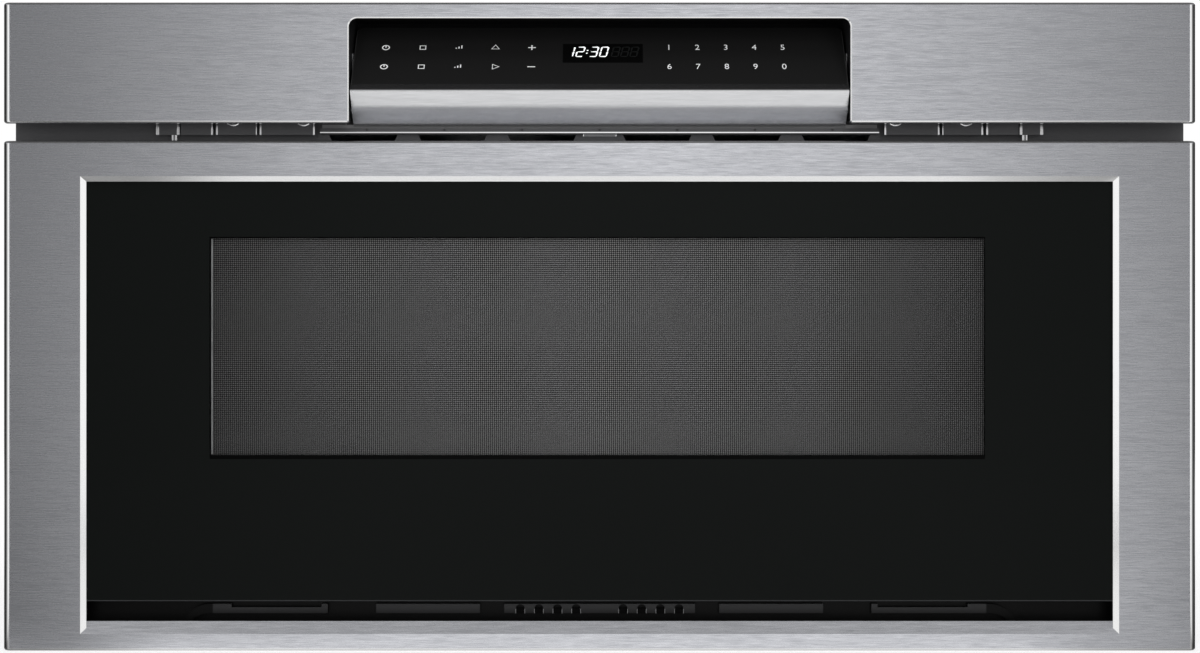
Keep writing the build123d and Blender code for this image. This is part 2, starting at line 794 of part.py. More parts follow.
# ---- Console cradle: the black recess behind the fascia, with the pin sockets --------------------
cradle_front = skin + 0.5
cradle_back = 92.0
cradle_skin = 1.2
cradle_roof = body_top - case_sheet - 0.2
cradle_chamfer = 26.0
cradle_foot = flange_back + 1  # its lower part starts behind the flange
cheek_bottom = pivot_z - 7
with BuildPart() as console_cradle:
    with BuildSketch(Plane.YZ):
        with BuildLine():
            Polyline(
                (at_depth(cradle_foot), cradle_floor),
                (at_depth(cradle_back), cradle_floor),
                (at_depth(cradle_back), cradle_roof - cradle_chamfer),
                (at_depth(cradle_back - cradle_chamfer), cradle_roof),
                (at_depth(cradle_front), cradle_roof),
                (at_depth(cradle_front), cheek_bottom),
                (at_depth(cradle_foot), cheek_bottom),
                close=True,
            )
        make_face()
    extrude(amount=cradle_half, both=True)
    inner_back = cradle_back - cradle_skin
    inner_roof = cradle_roof - cradle_skin
    inner_chamfer = cradle_chamfer - cradle_skin / 2
    with BuildSketch(Plane.YZ):
        with BuildLine():
            Polyline(
                (at_depth(0), cradle_floor + cradle_skin),
                (at_depth(inner_back), cradle_floor + cradle_skin),
                (at_depth(inner_back), inner_roof - inner_chamfer),
                (at_depth(inner_back - inner_chamfer), inner_roof),
                (at_depth(0), inner_roof),
                close=True,
            )
        make_face()
    extrude(amount=cradle_half - cradle_wall, both=True, mode=Mode.SUBTRACT)
    with BuildSketch(Plane.YZ.offset(-cradle_half)):
        with Locations((pivot_y, pivot_z)):
            Circle(pin_radius + running_gap)
    extrude(amount=2 * cradle_half, mode=Mode.SUBTRACT)
console_cradle.part.label = "console_cradle"
export_step(console_cradle.part, "parts/console_cradle.step")

# ==== Drawer front ================================================================================

# ---- Door frame: the stainless front with its bevelled window ------------------------------------
window_half = 330.0
window_bottom = 10.7
window_top = 301.5
window_wall_depth = 7.0
window_bevel = 3.2
sill_rise = 7.3
sill_sheet = 1.7  # measured upright
lining_sheet = 1.4
window_height = window_top - window_bottom
with BuildPart() as door_frame:
    add(pressed_skin(front_width, door_height, door_height / 2))
    with BuildSketch(facing_front(0)):
        with Locations((0, window_bottom)):
            Rectangle(2 * window_half, window_height, align=(Align.CENTER, Align.MIN))
    extrude(amount=-skin, mode=Mode.SUBTRACT)
    # The sheet turns back round the window's sides and top: a bevel, then a straight wall.
    with BuildPart(mode=Mode.PRIVATE) as window_lining:
        for wall, drop, mode in (
            (lining_sheet, 0.0, Mode.ADD),
            (0.0, 2 * window_bevel, Mode.SUBTRACT),
        ):
            lining_width = 2 * (window_half + wall)
            lining_height = window_height + wall + drop
            with BuildSketch(facing_front(0)):
                with Locations((0, window_bottom - drop)):
                    Rectangle(lining_width, lining_height, align=(Align.CENTER, Align.MIN))
            extrude(amount=-window_bevel, taper=45, mode=mode)
            with BuildSketch(facing_front(window_bevel)):
                with Locations((0, window_bottom - drop + window_bevel)):
                    Rectangle(
                        lining_width - 2 * window_bevel,
                        lining_height - 2 * window_bevel,
                        align=(Align.CENTER, Align.MIN),
                    )
            extrude(amount=-(window_wall_depth - window_bevel), mode=mode)
    add(window_lining)
    # The sill slopes up into the window.
    with BuildSketch(Plane.YZ):
        with BuildLine():
            Polyline(
                (at_depth(0), window_bottom),
                (at_depth(window_wall_depth), window_bottom + sill_rise),
                (at_depth(window_wall_depth), window_bottom + sill_rise - sill_sheet),
                (at_depth(skin), window_bottom - skin / 2),
                (at_depth(0), window_bottom - skin / 2),
                close=True,
            )
        make_face()
    extrude(amount=window_half + skin / 2, both=True)
door_frame.part.label = "door_frame"
export_step(door_frame.part, "parts/door_frame.step")

# ---- Door glass: the black outer pane, stopping short of the sill --------------------------------
glass_depth = window_wall_depth + 0.2
door_glass_thickness = 4.0
glass_bottom = 30.6
glass_overlap = 6.0
glass_arris = 0.5
with BuildPart() as door_glass:
    with BuildSketch(facing_front(glass_depth)):
        with Locations((0, glass_bottom)):
            Rectangle(
                2 * (window_half + glass_overlap),
                window_top + glass_overlap - glass_bottom,
                align=(Align.CENTER, Align.MIN),
            )
    extrude(amount=-door_glass_thickness)
    chamfer(door_glass.edges().filter_by(Axis.X).group_by(Axis.Z)[0], glass_arris)
door_glass.part.label = "door_glass"
export_step(door_glass.part, "parts/door_glass.step")

# ---- Door screen: the perforated sheet that is seen through the glass ----------------------------
view_half = 247.5
view_bottom = 123.8
view_top = 262.5
view_x = -1.5
view_height = view_top - view_bottom
view_middle = (view_bottom + view_top) / 2
screen_margin = 10.0
screen_depth = glass_depth + door_glass_thickness + clearance
screen_sheet = 0.6
with BuildPart() as door_screen:
    with BuildSketch(facing_front(screen_depth)):
        with Locations((view_x, view_middle)):
            Rectangle(2 * (view_half + screen_margin), view_height + 2 * screen_margin)
    extrude(amount=-screen_sheet)
door_screen.part.label = "door_screen"
export_step(door_screen.part, "parts/door_screen.step")

# ---- Door panel: the deep steel pressing behind the glass, with the microwave choke's channel ----
panel_half = 344.0
panel_bottom = 42.0
panel_top = 316.0
panel_sheet = 1.0
panel_start = screen_depth + screen_sheet + 0.2
choke_inner_half = 262.0
choke_outer_half = 286.0
choke_inner_bottom = 101.0
choke_inner_top = 301.0
choke_outer_bottom = 77.0
choke_outer_top = 313.0
choke_channel = 11.0
choke_corner = 10.0
panel_corner = 6.0
panel_bend = 2.0
port_half = view_half - 10
port_height = view_height - 8
port_corner = 6.0
arm_foot = 28.0
arm_screw_x = slide_start_x + arm_foot - 8
arm_screw_rise = 10.0
rack_foot_half = 20.0
rack_foot_bottom = panel_bottom + 1
rack_foot_top = 62.0
rack_screw_x = rack_foot_half - 6
rack_screw_height = rack_foot_top - 8

with BuildPart() as door_panel:
    with BuildSketch(facing_front(panel_start)):
        with Locations((0, (panel_bottom + panel_top) / 2)):
            RectangleRounded(2 * panel_half, panel_top - panel_bottom, panel_corner)
    extrude(amount=-(front_depth - panel_start))
    rear_edges = door_panel.faces().sort_by(Axis.Y)[-1].edges()
    fillet(rear_edges, panel_bend)
    # A flat rim reaches the folded sides and top of the stainless front.
    with BuildSketch(facing_front(panel_start)):
        with Locations((0, panel_bottom)):
            Rectangle(
                front_width - 2 * (skin + clearance),
                door_height - skin - clearance - panel_bottom,
                align=(Align.CENTER, Align.MIN),
            )
    extrude(amount=-panel_sheet)
    with BuildSketch(facing_front(panel_start)):
        with Locations((0, (panel_bottom + panel_top) / 2)):
            RectangleRounded(
                2 * (panel_half - panel_sheet),
                panel_top - panel_bottom - 2 * panel_sheet,
                panel_corner - panel_sheet,
            )
    extrude(amount=-(front_depth - panel_start - panel_sheet), mode=Mode.SUBTRACT)
    # The choke's channel is folded into the back face, all round the opening.
    with BuildSketch(facing_front(front_depth - choke_channel - panel_sheet)):
        with Locations((0, (choke_outer_bottom + choke_outer_top) / 2)):
            RectangleRounded(
                2 * (choke_outer_half + panel_sheet),
                choke_outer_top - choke_outer_bottom + 2 * panel_sheet,
                choke_corner,
            )
        with Locations((0, (choke_inner_bottom + choke_inner_top) / 2)):
            RectangleRounded(
                2 * (choke_inner_half - panel_sheet),
                choke_inner_top - choke_inner_bottom - 2 * panel_sheet,
                choke_corner - panel_sheet,
                mode=Mode.SUBTRACT,
            )
    extrude(amount=-(choke_channel + panel_sheet))
    with BuildSketch(facing_front(front_depth - choke_channel)):
        with Locations((0, (choke_outer_bottom + choke_outer_top) / 2)):
            RectangleRounded(
                2 * choke_outer_half, choke_outer_top - choke_outer_bottom, choke_corner
            )
        with Locations((0, (choke_inner_bottom + choke_inner_top) / 2)):
            RectangleRounded(
                2 * choke_inner_half,
                choke_inner_top - choke_inner_bottom,
                choke_corner,
                mode=Mode.SUBTRACT,
            )
    extrude(amount=-choke_channel, mode=Mode.SUBTRACT)
    with BuildSketch(facing_front(panel_start)):
        with Locations((view_x, view_middle)):
            RectangleRounded(2 * port_half, port_height, port_corner)
        for side in (-1, 1):
            with Locations((side * arm_screw_x, slide_middle)):
                with GridLocations(1, 2 * arm_screw_rise, 1, 2):
                    Circle(screw_hole)
            with Locations((side * rack_screw_x, rack_screw_height)):
                Circle(screw_hole)
    extrude(amount=-front_depth, mode=Mode.SUBTRACT)
door_panel.part.label = "door_panel"
export_step(door_panel.part, "parts/door_panel.step")

# ---- Choke cover: the moulded ring that closes the choke's channel -------------------------------
choke_cover_thickness = 2.0
clip_length = 12.0
clip_thickness = 4.0
clip_pitch = 120.0
clip_count = 4
clip_heights = (
    (choke_outer_bottom + choke_inner_bottom) / 2,
    (choke_inner_top + choke_outer_top) / 2,
)
with BuildPart() as choke_cover:
    with BuildSketch(facing_front(front_depth - choke_cover_thickness)):
        with Locations((0, (choke_outer_bottom + choke_outer_top) / 2)):
            RectangleRounded(
                2 * (choke_outer_half - clearance),
                choke_outer_top - choke_outer_bottom - 2 * clearance,
                choke_corner - clearance,
            )
        with Locations((0, (choke_inner_bottom + choke_inner_top) / 2)):
            RectangleRounded(
                2 * (choke_inner_half + clearance),
                choke_inner_top - choke_inner_bottom + 2 * clearance,
                choke_corner + clearance,
                mode=Mode.SUBTRACT,
            )
    extrude(amount=-choke_cover_thickness)
    # Clips press against the channel's floor.
    with BuildSketch(facing_front(front_depth - choke_channel)):
        for height in clip_heights:
            with Locations((0, height)):
                with GridLocations(clip_pitch, 1, clip_count, 1):
                    Rectangle(clip_length, clip_thickness)
    extrude(amount=-(choke_channel - choke_cover_thickness))
choke_cover.part.label = "choke_cover"
export_step(choke_cover.part, "parts/choke_cover.step")

# ---- Inner window: the pane inside the panel, over its port --------------------------------------
inner_pane = 3.0
pane_overlap = 7.0
pane_corner = 8.0
with BuildPart() as inner_window:
    with BuildSketch(facing_front(front_depth - panel_sheet - inner_pane)):
        with Locations((view_x, view_middle)):
            RectangleRounded(
                2 * (port_half + pane_overlap), port_height + 2 * pane_overlap, pane_corner
            )
    extrude(amount=-inner_pane)
inner_window.part.label = "inner_window"
export_step(inner_window.part, "parts/inner_window.step")

# ---- Vent trim: the black comb in the gap under the glass ----------------------------------------
trim_bottom = skin + clearance
trim_top = panel_bottom - clearance
trim_half = front_width / 2 - skin - clearance - 2
trim_front = glass_depth + door_glass_thickness + clearance
trim_face = 20.0
trim_wall = 1.8
trim_shelf_half = window_half - 4
ledge_bottom = 21.4
ledge_height = 6.0
ledge_top = ledge_bottom + ledge_height
ledge_spans = ((77.0, 144.0), (175.0, 249.0))
centre_ledge = 61.5
notch_span = (179.0, 237.0)
notch_drop = 2.2
trim_hole = 2.85
trim_holes = (15.1, 27.1, 39.1, 51.1)
arch_span = (249.0, 268.0)
arch_drop = 0.6  # of its run
with BuildPart() as vent_trim:
    with BuildSketch(facing_front(front_depth - trim_wall)):
        with Locations((0, trim_bottom)):
            Rectangle(2 * trim_half, trim_top - trim_bottom, align=(Align.CENTER, Align.MIN))
    extrude(amount=-trim_wall)
    # Top and bottom walls carry the comb forward, to the glass and the sill.
    with BuildSketch(facing_front(trim_front)):
        with Locations((0, trim_top - trim_wall), (0, trim_bottom)):
            Rectangle(2 * trim_shelf_half, trim_wall, align=(Align.CENTER, Align.MIN))
    extrude(amount=-(front_depth - trim_front))
    with BuildSketch(facing_front(trim_face)):
        with Locations((0, ledge_bottom)):
            Rectangle(2 * centre_ledge, ledge_height, align=(Align.CENTER, Align.MIN))
        for side in (-1, 1):
            for start, end in ledge_spans:
                with Locations((side * (start + end) / 2, ledge_bottom)):
                    Rectangle(end - start, ledge_height, align=(Align.CENTER, Align.MIN))
            with Locations((side * sum(notch_span) / 2, ledge_top)):
                Rectangle(
                    notch_span[1] - notch_span[0],
                    notch_drop,
                    align=(Align.CENTER, Align.MAX),
                    mode=Mode.SUBTRACT,
                )
            for x in trim_holes:
                with Locations((side * x, ledge_bottom + ledge_height / 2)):
                    Circle(trim_hole, mode=Mode.SUBTRACT)
            # A quarter arch joins the outer ledge to the side wall.
            with BuildLine():
                arch_run = arch_span[1] - arch_span[0]
                arch_fall = arch_run * arch_drop
                inner_x = side * arch_span[0]
                outer_x = side * arch_span[1]
                upper_arch = RadiusArc(
                    (inner_x, ledge_top), (outer_x, ledge_top - arch_fall), side * arch_run
                )
                Line(upper_arch @ 1, (outer_x, ledge_bottom - arch_fall))
                RadiusArc(
                    (outer_x, ledge_bottom - arch_fall), (inner_x, ledge_bottom), -side * arch_run
                )
                Line((inner_x, ledge_bottom), upper_arch @ 0)
            make_face()
    extrude(amount=-(front_depth - trim_face))
vent_trim.part.label = "vent_trim"
export_step(vent_trim.part, "parts/vent_trim.step")

# ==== Drawer: everything that slides out with the front ===========================================

# ---- Drawer bin: the folded steel box that stands behind the panel -------------------------------
bin_front_fold = 6.0
bin_fold = 3.0
bin_length = bin_back - front_depth
floor_ledge = 25.0  # carries the ceramic plate
with BuildPart() as drawer_bin:
    with BuildSketch(Plane.XY.offset(bin_bottom)):
        with Locations((0, at_depth(front_depth))):
            Rectangle(
                2 * (bin_half_width + bin_wall), bin_length, align=(Align.CENTER, Align.MIN)
            )
    extrude(amount=bin_top - bin_bottom)
    fillet(drawer_bin.edges().filter_by(Axis.Z).group_by(Axis.Y)[-1], bin_corner)
    lower_edges = drawer_bin.faces().sort_by(Axis.Z)[0].edges().sort_by(Axis.Y)[1:]
    fillet(lower_edges, bin_fold)
    # The rim turns outwards along the top of the sides and back.
    with BuildSketch(Plane.XY.offset(bin_top - bin_wall)):
        with Locations((0, at_depth(front_depth))):
            Rectangle(
                2 * (bin_half_width + bin_rim),
                bin_length + bin_rim,
                align=(Align.CENTER, Align.MIN),
            )
    extrude(amount=bin_wall)
    rim_corners = drawer_bin.edges().filter_by(Axis.Z).filter_by(lambda e: e.length < 2 * bin_wall)
    fillet(rim_corners.group_by(Axis.Y)[-1], bin_corner + bin_rim - bin_wall)
    # The front edges turn outwards against the panel.
    with BuildSketch(facing_front(front_depth)):
        with Locations((0, bin_bottom)):
            Rectangle(
                2 * (bin_half_width + bin_front_fold),
                bin_top - bin_bottom,
                align=(Align.CENTER, Align.MIN),
            )
    extrude(amount=-bin_wall)
    with BuildSketch(Plane.XY.offset(bin_bottom + bin_wall)) as bin_inside:
        with Locations((0, at_depth(front_depth))):
            Rectangle(
                2 * bin_half_width, bin_length - bin_wall, align=(Align.CENTER, Align.MIN)
            )
        fillet(bin_inside.vertices().group_by(Axis.Y)[-1], bin_corner - bin_wall)
    extrude(amount=bin_top - bin_bottom, mode=Mode.SUBTRACT)
    with BuildSketch(Plane.XY.offset(bin_bottom)):
        with Locations((0, at_depth(front_depth + bin_length / 2))):
            RectangleRounded(
                2 * (bin_half_width - floor_ledge), bin_length - 2 * floor_ledge, bin_corner
            )
    extrude(amount=bin_wall, mode=Mode.SUBTRACT)
drawer_bin.part.label = "drawer_bin"
export_step(drawer_bin.part, "parts/drawer_bin.step")

# ---- Drawer floor: the ceramic glass plate that food stands on -----------------------------------
plate_clearance = 0.5
plate_edge = 1.0
with BuildPart() as drawer_floor:
    with BuildSketch(Plane.XY.offset(bin_bottom + bin_wall)) as plate_outline:
        with Locations((0, at_depth(front_depth + plate_clearance))):
            Rectangle(
                2 * (bin_half_width - plate_clearance),
                bin_length - bin_wall - 2 * plate_clearance,
                align=(Align.CENTER, Align.MIN),
            )
        fillet(plate_outline.vertices().group_by(Axis.Y)[-1], bin_corner - bin_wall)
    extrude(amount=floor_glass)
    fillet(drawer_floor.faces().sort_by(Axis.Z)[-1].edges(), plate_edge)
drawer_floor.part.label = "drawer_floor"
export_step(drawer_floor.part, "parts/drawer_floor.step")

# ---- Telescopic slides: an outer, a middle and an inner rail on each side, one inside the next ---
ball_gap = 3.0
ball_radius = ball_gap / 2 - 0.03
rail_step = 1.4
rail_bend = 0.8
middle_height = slide_height - 2 * (slide_sheet + ball_gap)
inner_height = middle_height - 2 * (slide_sheet + ball_gap)
outer_lip = 11.0
middle_lip = 8.4
inner_lip = 6.0
slide_end_x = slide_start_x + slide_width
middle_web_x = slide_end_x - slide_sheet - rail_step
balls_per_row = 2
ball_pitch = 40.0
ball_end_gap = 12.0
web_slot_count = 4
web_slot_pitch = 90.0
web_slot_length = 24.0
web_slot_width = 6.0


def rail_profile(web_x, height, lip, inward):
    """A channel's section in the plane across the slides: a web and two lips."""
    tip = web_x - lip if inward else web_x + lip
    step = -slide_sheet if inward else slide_sheet
    half = height / 2
    with BuildSketch(mode=Mode.PRIVATE) as section:
        with BuildLine():
            Polyline(
                (web_x, slide_middle - half),
                (tip, slide_middle - half),
                (tip, slide_middle - half + slide_sheet),
                (web_x + step, slide_middle - half + slide_sheet),
                (web_x + step, slide_middle + half - slide_sheet),
                (tip, slide_middle + half - slide_sheet),
                (tip, slide_middle + half),
                (web_x, slide_middle + half),
                close=True,
            )
        make_face()
    return section.sketch


with BuildPart() as slide_outers:
    with BuildSketch(facing_front(slide_start)):
        add(rail_profile(slide_end_x, slide_height, outer_lip, True))
    extrude(amount=-slide_length)
    fillet(slide_outers.edges().filter_by(Axis.Y).group_by(Axis.X)[-1], rail_bend)
    with BuildSketch(Plane.YZ.offset(slide_end_x - slide_sheet)):
        with Locations((at_depth(slide_start + slide_length / 2), slide_middle)):
            with GridLocations(web_slot_pitch, 1, web_slot_count, 1):
                SlotOverall(web_slot_length, web_slot_width)
    extrude(amount=slide_sheet, mode=Mode.SUBTRACT)
    mirror(about=Plane.YZ)

with BuildPart() as slide_middle_right:
    with BuildSketch(facing_front(slide_start)):
        add(rail_profile(middle_web_x, middle_height, middle_lip, True))
    extrude(amount=-slide_length)
    fillet(slide_middle_right.edges().filter_by(Axis.Y).group_by(Axis.X)[-1], rail_bend)
    # Balls run in the gaps to the outer rail, at the back, and to the inner rail, at the front.
    outer_row = slide_height / 2 - slide_sheet - ball_gap / 2
    inner_row = middle_height / 2 - slide_sheet - ball_gap / 2
    ball_x = middle_web_x - middle_lip / 2
    for side in (-1, 1):
        for ball in range(balls_per_row):
            from_end = ball_end_gap + ball * ball_pitch
            rear_y = at_depth(slide_start + slide_length - from_end)
            front_ball_y = at_depth(slide_start + from_end)
            with Locations(
                (ball_x, rear_y, slide_middle + side * outer_row),
                (ball_x, front_ball_y, slide_middle + side * inner_row),
            ):
                Sphere(ball_radius)

inner_rail_gap = 4.0
inner_rail_start = front_depth + arm_sheet + inner_rail_gap
with BuildPart() as slide_inners:
    with BuildSketch(facing_front(inner_rail_start)):
        add(rail_profile(slide_start_x, inner_height, inner_lip, False))
    extrude(amount=-slide_length)
    fillet(slide_inners.edges().filter_by(Axis.Y).group_by(Axis.X)[0], rail_bend)
    mirror(about=Plane.YZ)

with BuildPart() as slide_middle_left:
    add(mirror(slide_middle_right.part, about=Plane.YZ, mode=Mode.PRIVATE))
slide_outers.part.label = "slide_outers"
export_step(slide_outers.part, "parts/slide_outers.step")
slide_middle_right.part.label = "slide_middle_right"
export_step(slide_middle_right.part, "parts/slide_middle_right.step")
slide_middle_left.part.label = "slide_middle_left"
export_step(slide_middle_left.part, "parts/slide_middle_left.step")
slide_inners.part.label = "slide_inners"
export_step(slide_inners.part, "parts/slide_inners.step")

# ---- Slide brackets: plates that stand on the base pan and carry the outer rails -----------------
stand_sheet = 1.2
stand_top = slide_middle + slide_height / 2 + 6
stand_foot = 22.0
stand_window = 100.0
stand_window_height = 70.0
stand_window_corner = 10.0
stand_window_pitch = 135.0
stand_window_count = 3
stand_window_rise = 21.0
with BuildPart() as slide_brackets:
    with BuildSketch(Plane.YZ.offset(slide_end_x)):
        with Locations((at_depth(slide_start), cover_bottom)):
            Rectangle(slide_length, stand_top - cover_bottom, align=(Align.MIN, Align.MIN))
        window_middle = cover_bottom + stand_window_rise + stand_window_height / 2
        with Locations((at_depth(slide_start + slide_length / 2), window_middle)):
            with GridLocations(stand_window_pitch, 1, stand_window_count, 1):
                RectangleRounded(
                    stand_window, stand_window_height, stand_window_corner, mode=Mode.SUBTRACT
                )
    extrude(amount=stand_sheet)
    with BuildSketch(Plane.XY.offset(cover_bottom)):
        with Locations((slide_end_x, at_depth(slide_start))):
            Rectangle(stand_foot, slide_length, align=(Align.MIN, Align.MIN))
    extrude(amount=stand_sheet)
    mirror(about=Plane.YZ)
slide_brackets.part.label = "slide_brackets"
export_step(slide_brackets.part, "parts/slide_brackets.step")

# ---- Drawer arms: angles that join the front to the inner rails ----------------------------------
arm_height = inner_height + 4
arm_length = 110.0
with BuildPart() as drawer_arms:
    with BuildSketch(Plane.XY.offset(slide_middle - arm_height / 2)):
        with BuildLine():
            Polyline(
                (slide_start_x, at_depth(front_depth)),
                (slide_start_x + arm_foot, at_depth(front_depth)),
                (slide_start_x + arm_foot, at_depth(front_depth + arm_sheet)),
                (slide_start_x, at_depth(front_depth + arm_sheet)),
                (slide_start_x, at_depth(front_depth + arm_length)),
                (slide_start_x - arm_sheet, at_depth(front_depth + arm_length)),
                (slide_start_x - arm_sheet, at_depth(front_depth)),
                close=True,
            )
        make_face()
    extrude(amount=arm_height)
    with BuildSketch(facing_front(front_depth)):
        with Locations((arm_screw_x, slide_middle)):
            with GridLocations(1, 2 * arm_screw_rise, 1, 2):
                Circle(screw_hole)
    extrude(amount=-arm_sheet, mode=Mode.SUBTRACT)
    mirror(about=Plane.YZ)
drawer_arms.part.label = "drawer_arms"
export_step(drawer_arms.part, "parts/drawer_arms.step")

# ---- Drive rack and pinion: a straight rack under the bin and the involute wheel that moves it ---
gear_module = 1.5
pinion_teeth = 20
pressure_angle = radians(20)
pinion_radius = gear_module * pinion_teeth / 2
tooth_pitch = pi * gear_module
addendum = gear_module
dedendum = 1.25 * gear_module
backlash = 0.16
rack_half_width = 8.0  # to the pitch line
pinion_depth = 75.0
pinion_mesh_spare = 35.0  # rack left past the pinion at full travel
rack_end = pinion_depth + drawer_travel + pinion_mesh_spare  # depth
pinion_x = rack_half_width + pinion_radius
pinion_shaft = 3.0
shaft_flat = 1.0
pinion_hub_radius = 6.0
pinion_hub_rise = 2.0
pinion_shaft_rise = 14.0
pinion_inset = 0.7  # the wheel's face inside the rack's
face_width = rack_height - 2 * pinion_inset

# The teeth are counted back from the pinion, so that a gap of the rack always faces a tooth.
rack_start = front_depth + arm_sheet
first_tooth = int((rack_start + tooth_pitch - pinion_depth) / tooth_pitch)
last_tooth = int((rack_end - tooth_pitch - pinion_depth) / tooth_pitch)
with BuildPart() as drive_rack:
    with BuildSketch(Plane.XY.offset(rack_bottom)):
        with Locations((-rack_half_width, at_depth(rack_start))):
            Rectangle(
                2 * rack_half_width - dedendum, rack_end - rack_start, align=(Align.MIN, Align.MIN)
            )
        root_half = tooth_pitch / 4 - backlash / 2 + dedendum * tan(pressure_angle)
        tip_half = tooth_pitch / 4 - backlash / 2 - addendum * tan(pressure_angle)
        root_x = rack_half_width - dedendum
        tip_x = rack_half_width + addendum
        for tooth in range(first_tooth, last_tooth):
            tooth_y = at_depth(pinion_depth + (tooth + 0.5) * tooth_pitch)
            with BuildLine():
                Polyline(
                    (root_x - backlash, tooth_y - root_half),
                    (root_x, tooth_y - root_half),
                    (tip_x, tooth_y - tip_half),
                    (tip_x, tooth_y + tip_half),
                    (root_x, tooth_y + root_half),
                    (root_x - backlash, tooth_y + root_half),
                    close=True,
                )
            make_face()
    extrude(amount=rack_height)
    with BuildSketch(facing_front(front_depth)):
        with Locations((0, rack_foot_bottom)):
            Rectangle(
                2 * rack_foot_half,
                rack_foot_top - rack_foot_bottom,
                align=(Align.CENTER, Align.MIN),
            )
        for side in (-1, 1):
            with Locations((side * rack_screw_x, rack_screw_height)):
                Circle(screw_hole, mode=Mode.SUBTRACT)
    extrude(amount=-arm_sheet)
drive_rack.part.label = "drive_rack"
export_step(drive_rack.part, "parts/drive_rack.step")


def involute_point(base_radius, roll, turn):
    """A point on an involute from the base circle, at a roll angle and turned about the centre."""
    x = base_radius * (cos(roll) + roll * sin(roll))
    y = base_radius * (sin(roll) - roll * cos(roll))
    return (x * cos(turn) - y * sin(turn), x * sin(turn) + y * cos(turn))


base_circle = pinion_radius * cos(pressure_angle)
tip_circle = pinion_radius + addendum
root_circle = pinion_radius - dedendum
pitch_involute = tan(pressure_angle) - pressure_angle
flank_turn = -(pi / 2 / pinion_teeth - backlash / 2 / pinion_radius) - pitch_involute
tip_roll = sqrt((tip_circle / base_circle) ** 2 - 1)
flank_steps = 4
tooth_foot = root_circle - clearance
with BuildSketch() as pinion_tooth:
    with BuildLine():
        lower = [
            involute_point(base_circle, tip_roll * step / flank_steps, flank_turn)
            for step in range(flank_steps + 1)
        ]
        upper = [(x, -y) for x, y in lower]
        foot = (tooth_foot * cos(flank_turn), tooth_foot * sin(flank_turn))
        Line(foot, lower[0])
        Spline(*lower)
        Line(lower[-1], upper[-1])
        Spline(*reversed(upper))
        Line(upper[0], (foot[0], -foot[1]))
        Line((foot[0], -foot[1]), foot)
    make_face()

pinion_bottom = rack_bottom + pinion_inset
pinion_base = Plane(origin=(pinion_x, at_depth(pinion_depth), pinion_bottom))
with BuildPart() as drive_pinion:
    with BuildSketch(pinion_base):
        Circle(root_circle)
        with PolarLocations(0, pinion_teeth, start_angle=180):
            add(pinion_tooth.sketch)
    extrude(amount=face_width)
    with BuildSketch(pinion_base):
        Circle(pinion_hub_radius)
    extrude(amount=face_width + pinion_hub_rise)
    with BuildSketch(pinion_base):
        Circle(pinion_shaft)
        with Locations((pinion_shaft, 0)):
            Rectangle(
                shaft_flat,
                2 * pinion_shaft,
                align=(Align.MAX, Align.CENTER),
                mode=Mode.SUBTRACT,
            )
    extrude(amount=face_width + pinion_shaft_rise)
drive_pinion.part.label = "drive_pinion"
export_step(drive_pinion.part, "parts/drive_pinion.step")

# ---- Drive motor: the gearmotor over the pinion, on its bracket ----------------------------------
motor_bottom = pinion_bottom + face_width + pinion_hub_rise + 0.8
gear_case_length = 56.0
gear_case_width = 46.0
gear_case_height = 16.0
gear_case_corner = 8.0
drive_can_radius = 17.0
drive_can_height = 24.0
drive_can_edge = 2.0
drive_can_offset = 8.0
gear_case_x = pinion_x + 14
gear_case_y = at_depth(pinion_depth + 2)
bracket_plate = 2.0
bracket_margin = 3.0
bracket_corner = 6.0
bracket_leg_width = 40.0
bracket_foot = 18.0
leg_x = gear_case_x + gear_case_length / 2 + bracket_margin - bracket_plate
with BuildPart() as motor_bracket:
    with BuildSketch(Plane.XY.offset(motor_bottom)):
        with Locations((gear_case_x, gear_case_y)):
            RectangleRounded(
                gear_case_length + 2 * bracket_margin,
                gear_case_width + 2 * bracket_margin,
                bracket_corner,
            )
        with Locations((pinion_x, at_depth(pinion_depth))):
            Circle(pinion_hub_radius + 1, mode=Mode.SUBTRACT)
    extrude(amount=bracket_plate)
    with BuildSketch(Plane.XY.offset(cover_bottom)):
        with Locations((leg_x, gear_case_y)):
            Rectangle(bracket_plate, bracket_leg_width, align=(Align.MIN, Align.CENTER))
    extrude(amount=motor_bottom - cover_bottom)
    with BuildSketch(Plane.XY.offset(cover_bottom)):
        with Locations((leg_x, gear_case_y)):
            Rectangle(bracket_foot, bracket_leg_width, align=(Align.MIN, Align.CENTER))
    extrude(amount=bracket_plate)
motor_bracket.part.label = "motor_bracket"
export_step(motor_bracket.part, "parts/motor_bracket.step")

with BuildPart() as drive_motor:
    with BuildSketch(Plane.XY.offset(motor_bottom + bracket_plate)):
        with Locations((gear_case_x, gear_case_y)):
            RectangleRounded(gear_case_length, gear_case_width, gear_case_corner)
    extrude(amount=gear_case_height)
    with BuildSketch(Plane.XY.offset(motor_bottom + bracket_plate + gear_case_height)):
        with Locations((gear_case_x + drive_can_offset, gear_case_y)):
            Circle(drive_can_radius)
    extrude(amount=drive_can_height)
    chamfer(drive_motor.faces().sort_by(Axis.Z)[-1].edges(), drive_can_edge)
    # A bore takes the pinion's shaft.
    with BuildSketch(Plane.XY.offset(motor_bottom + bracket_plate)):
        with Locations((pinion_x, at_depth(pinion_depth))):
            Circle(pinion_shaft + running_gap)
    extrude(amount=pinion_shaft_rise - pinion_hub_rise, mode=Mode.SUBTRACT)
drive_motor.part.label = "drive_motor"
export_step(drive_motor.part, "parts/drive_motor.step")

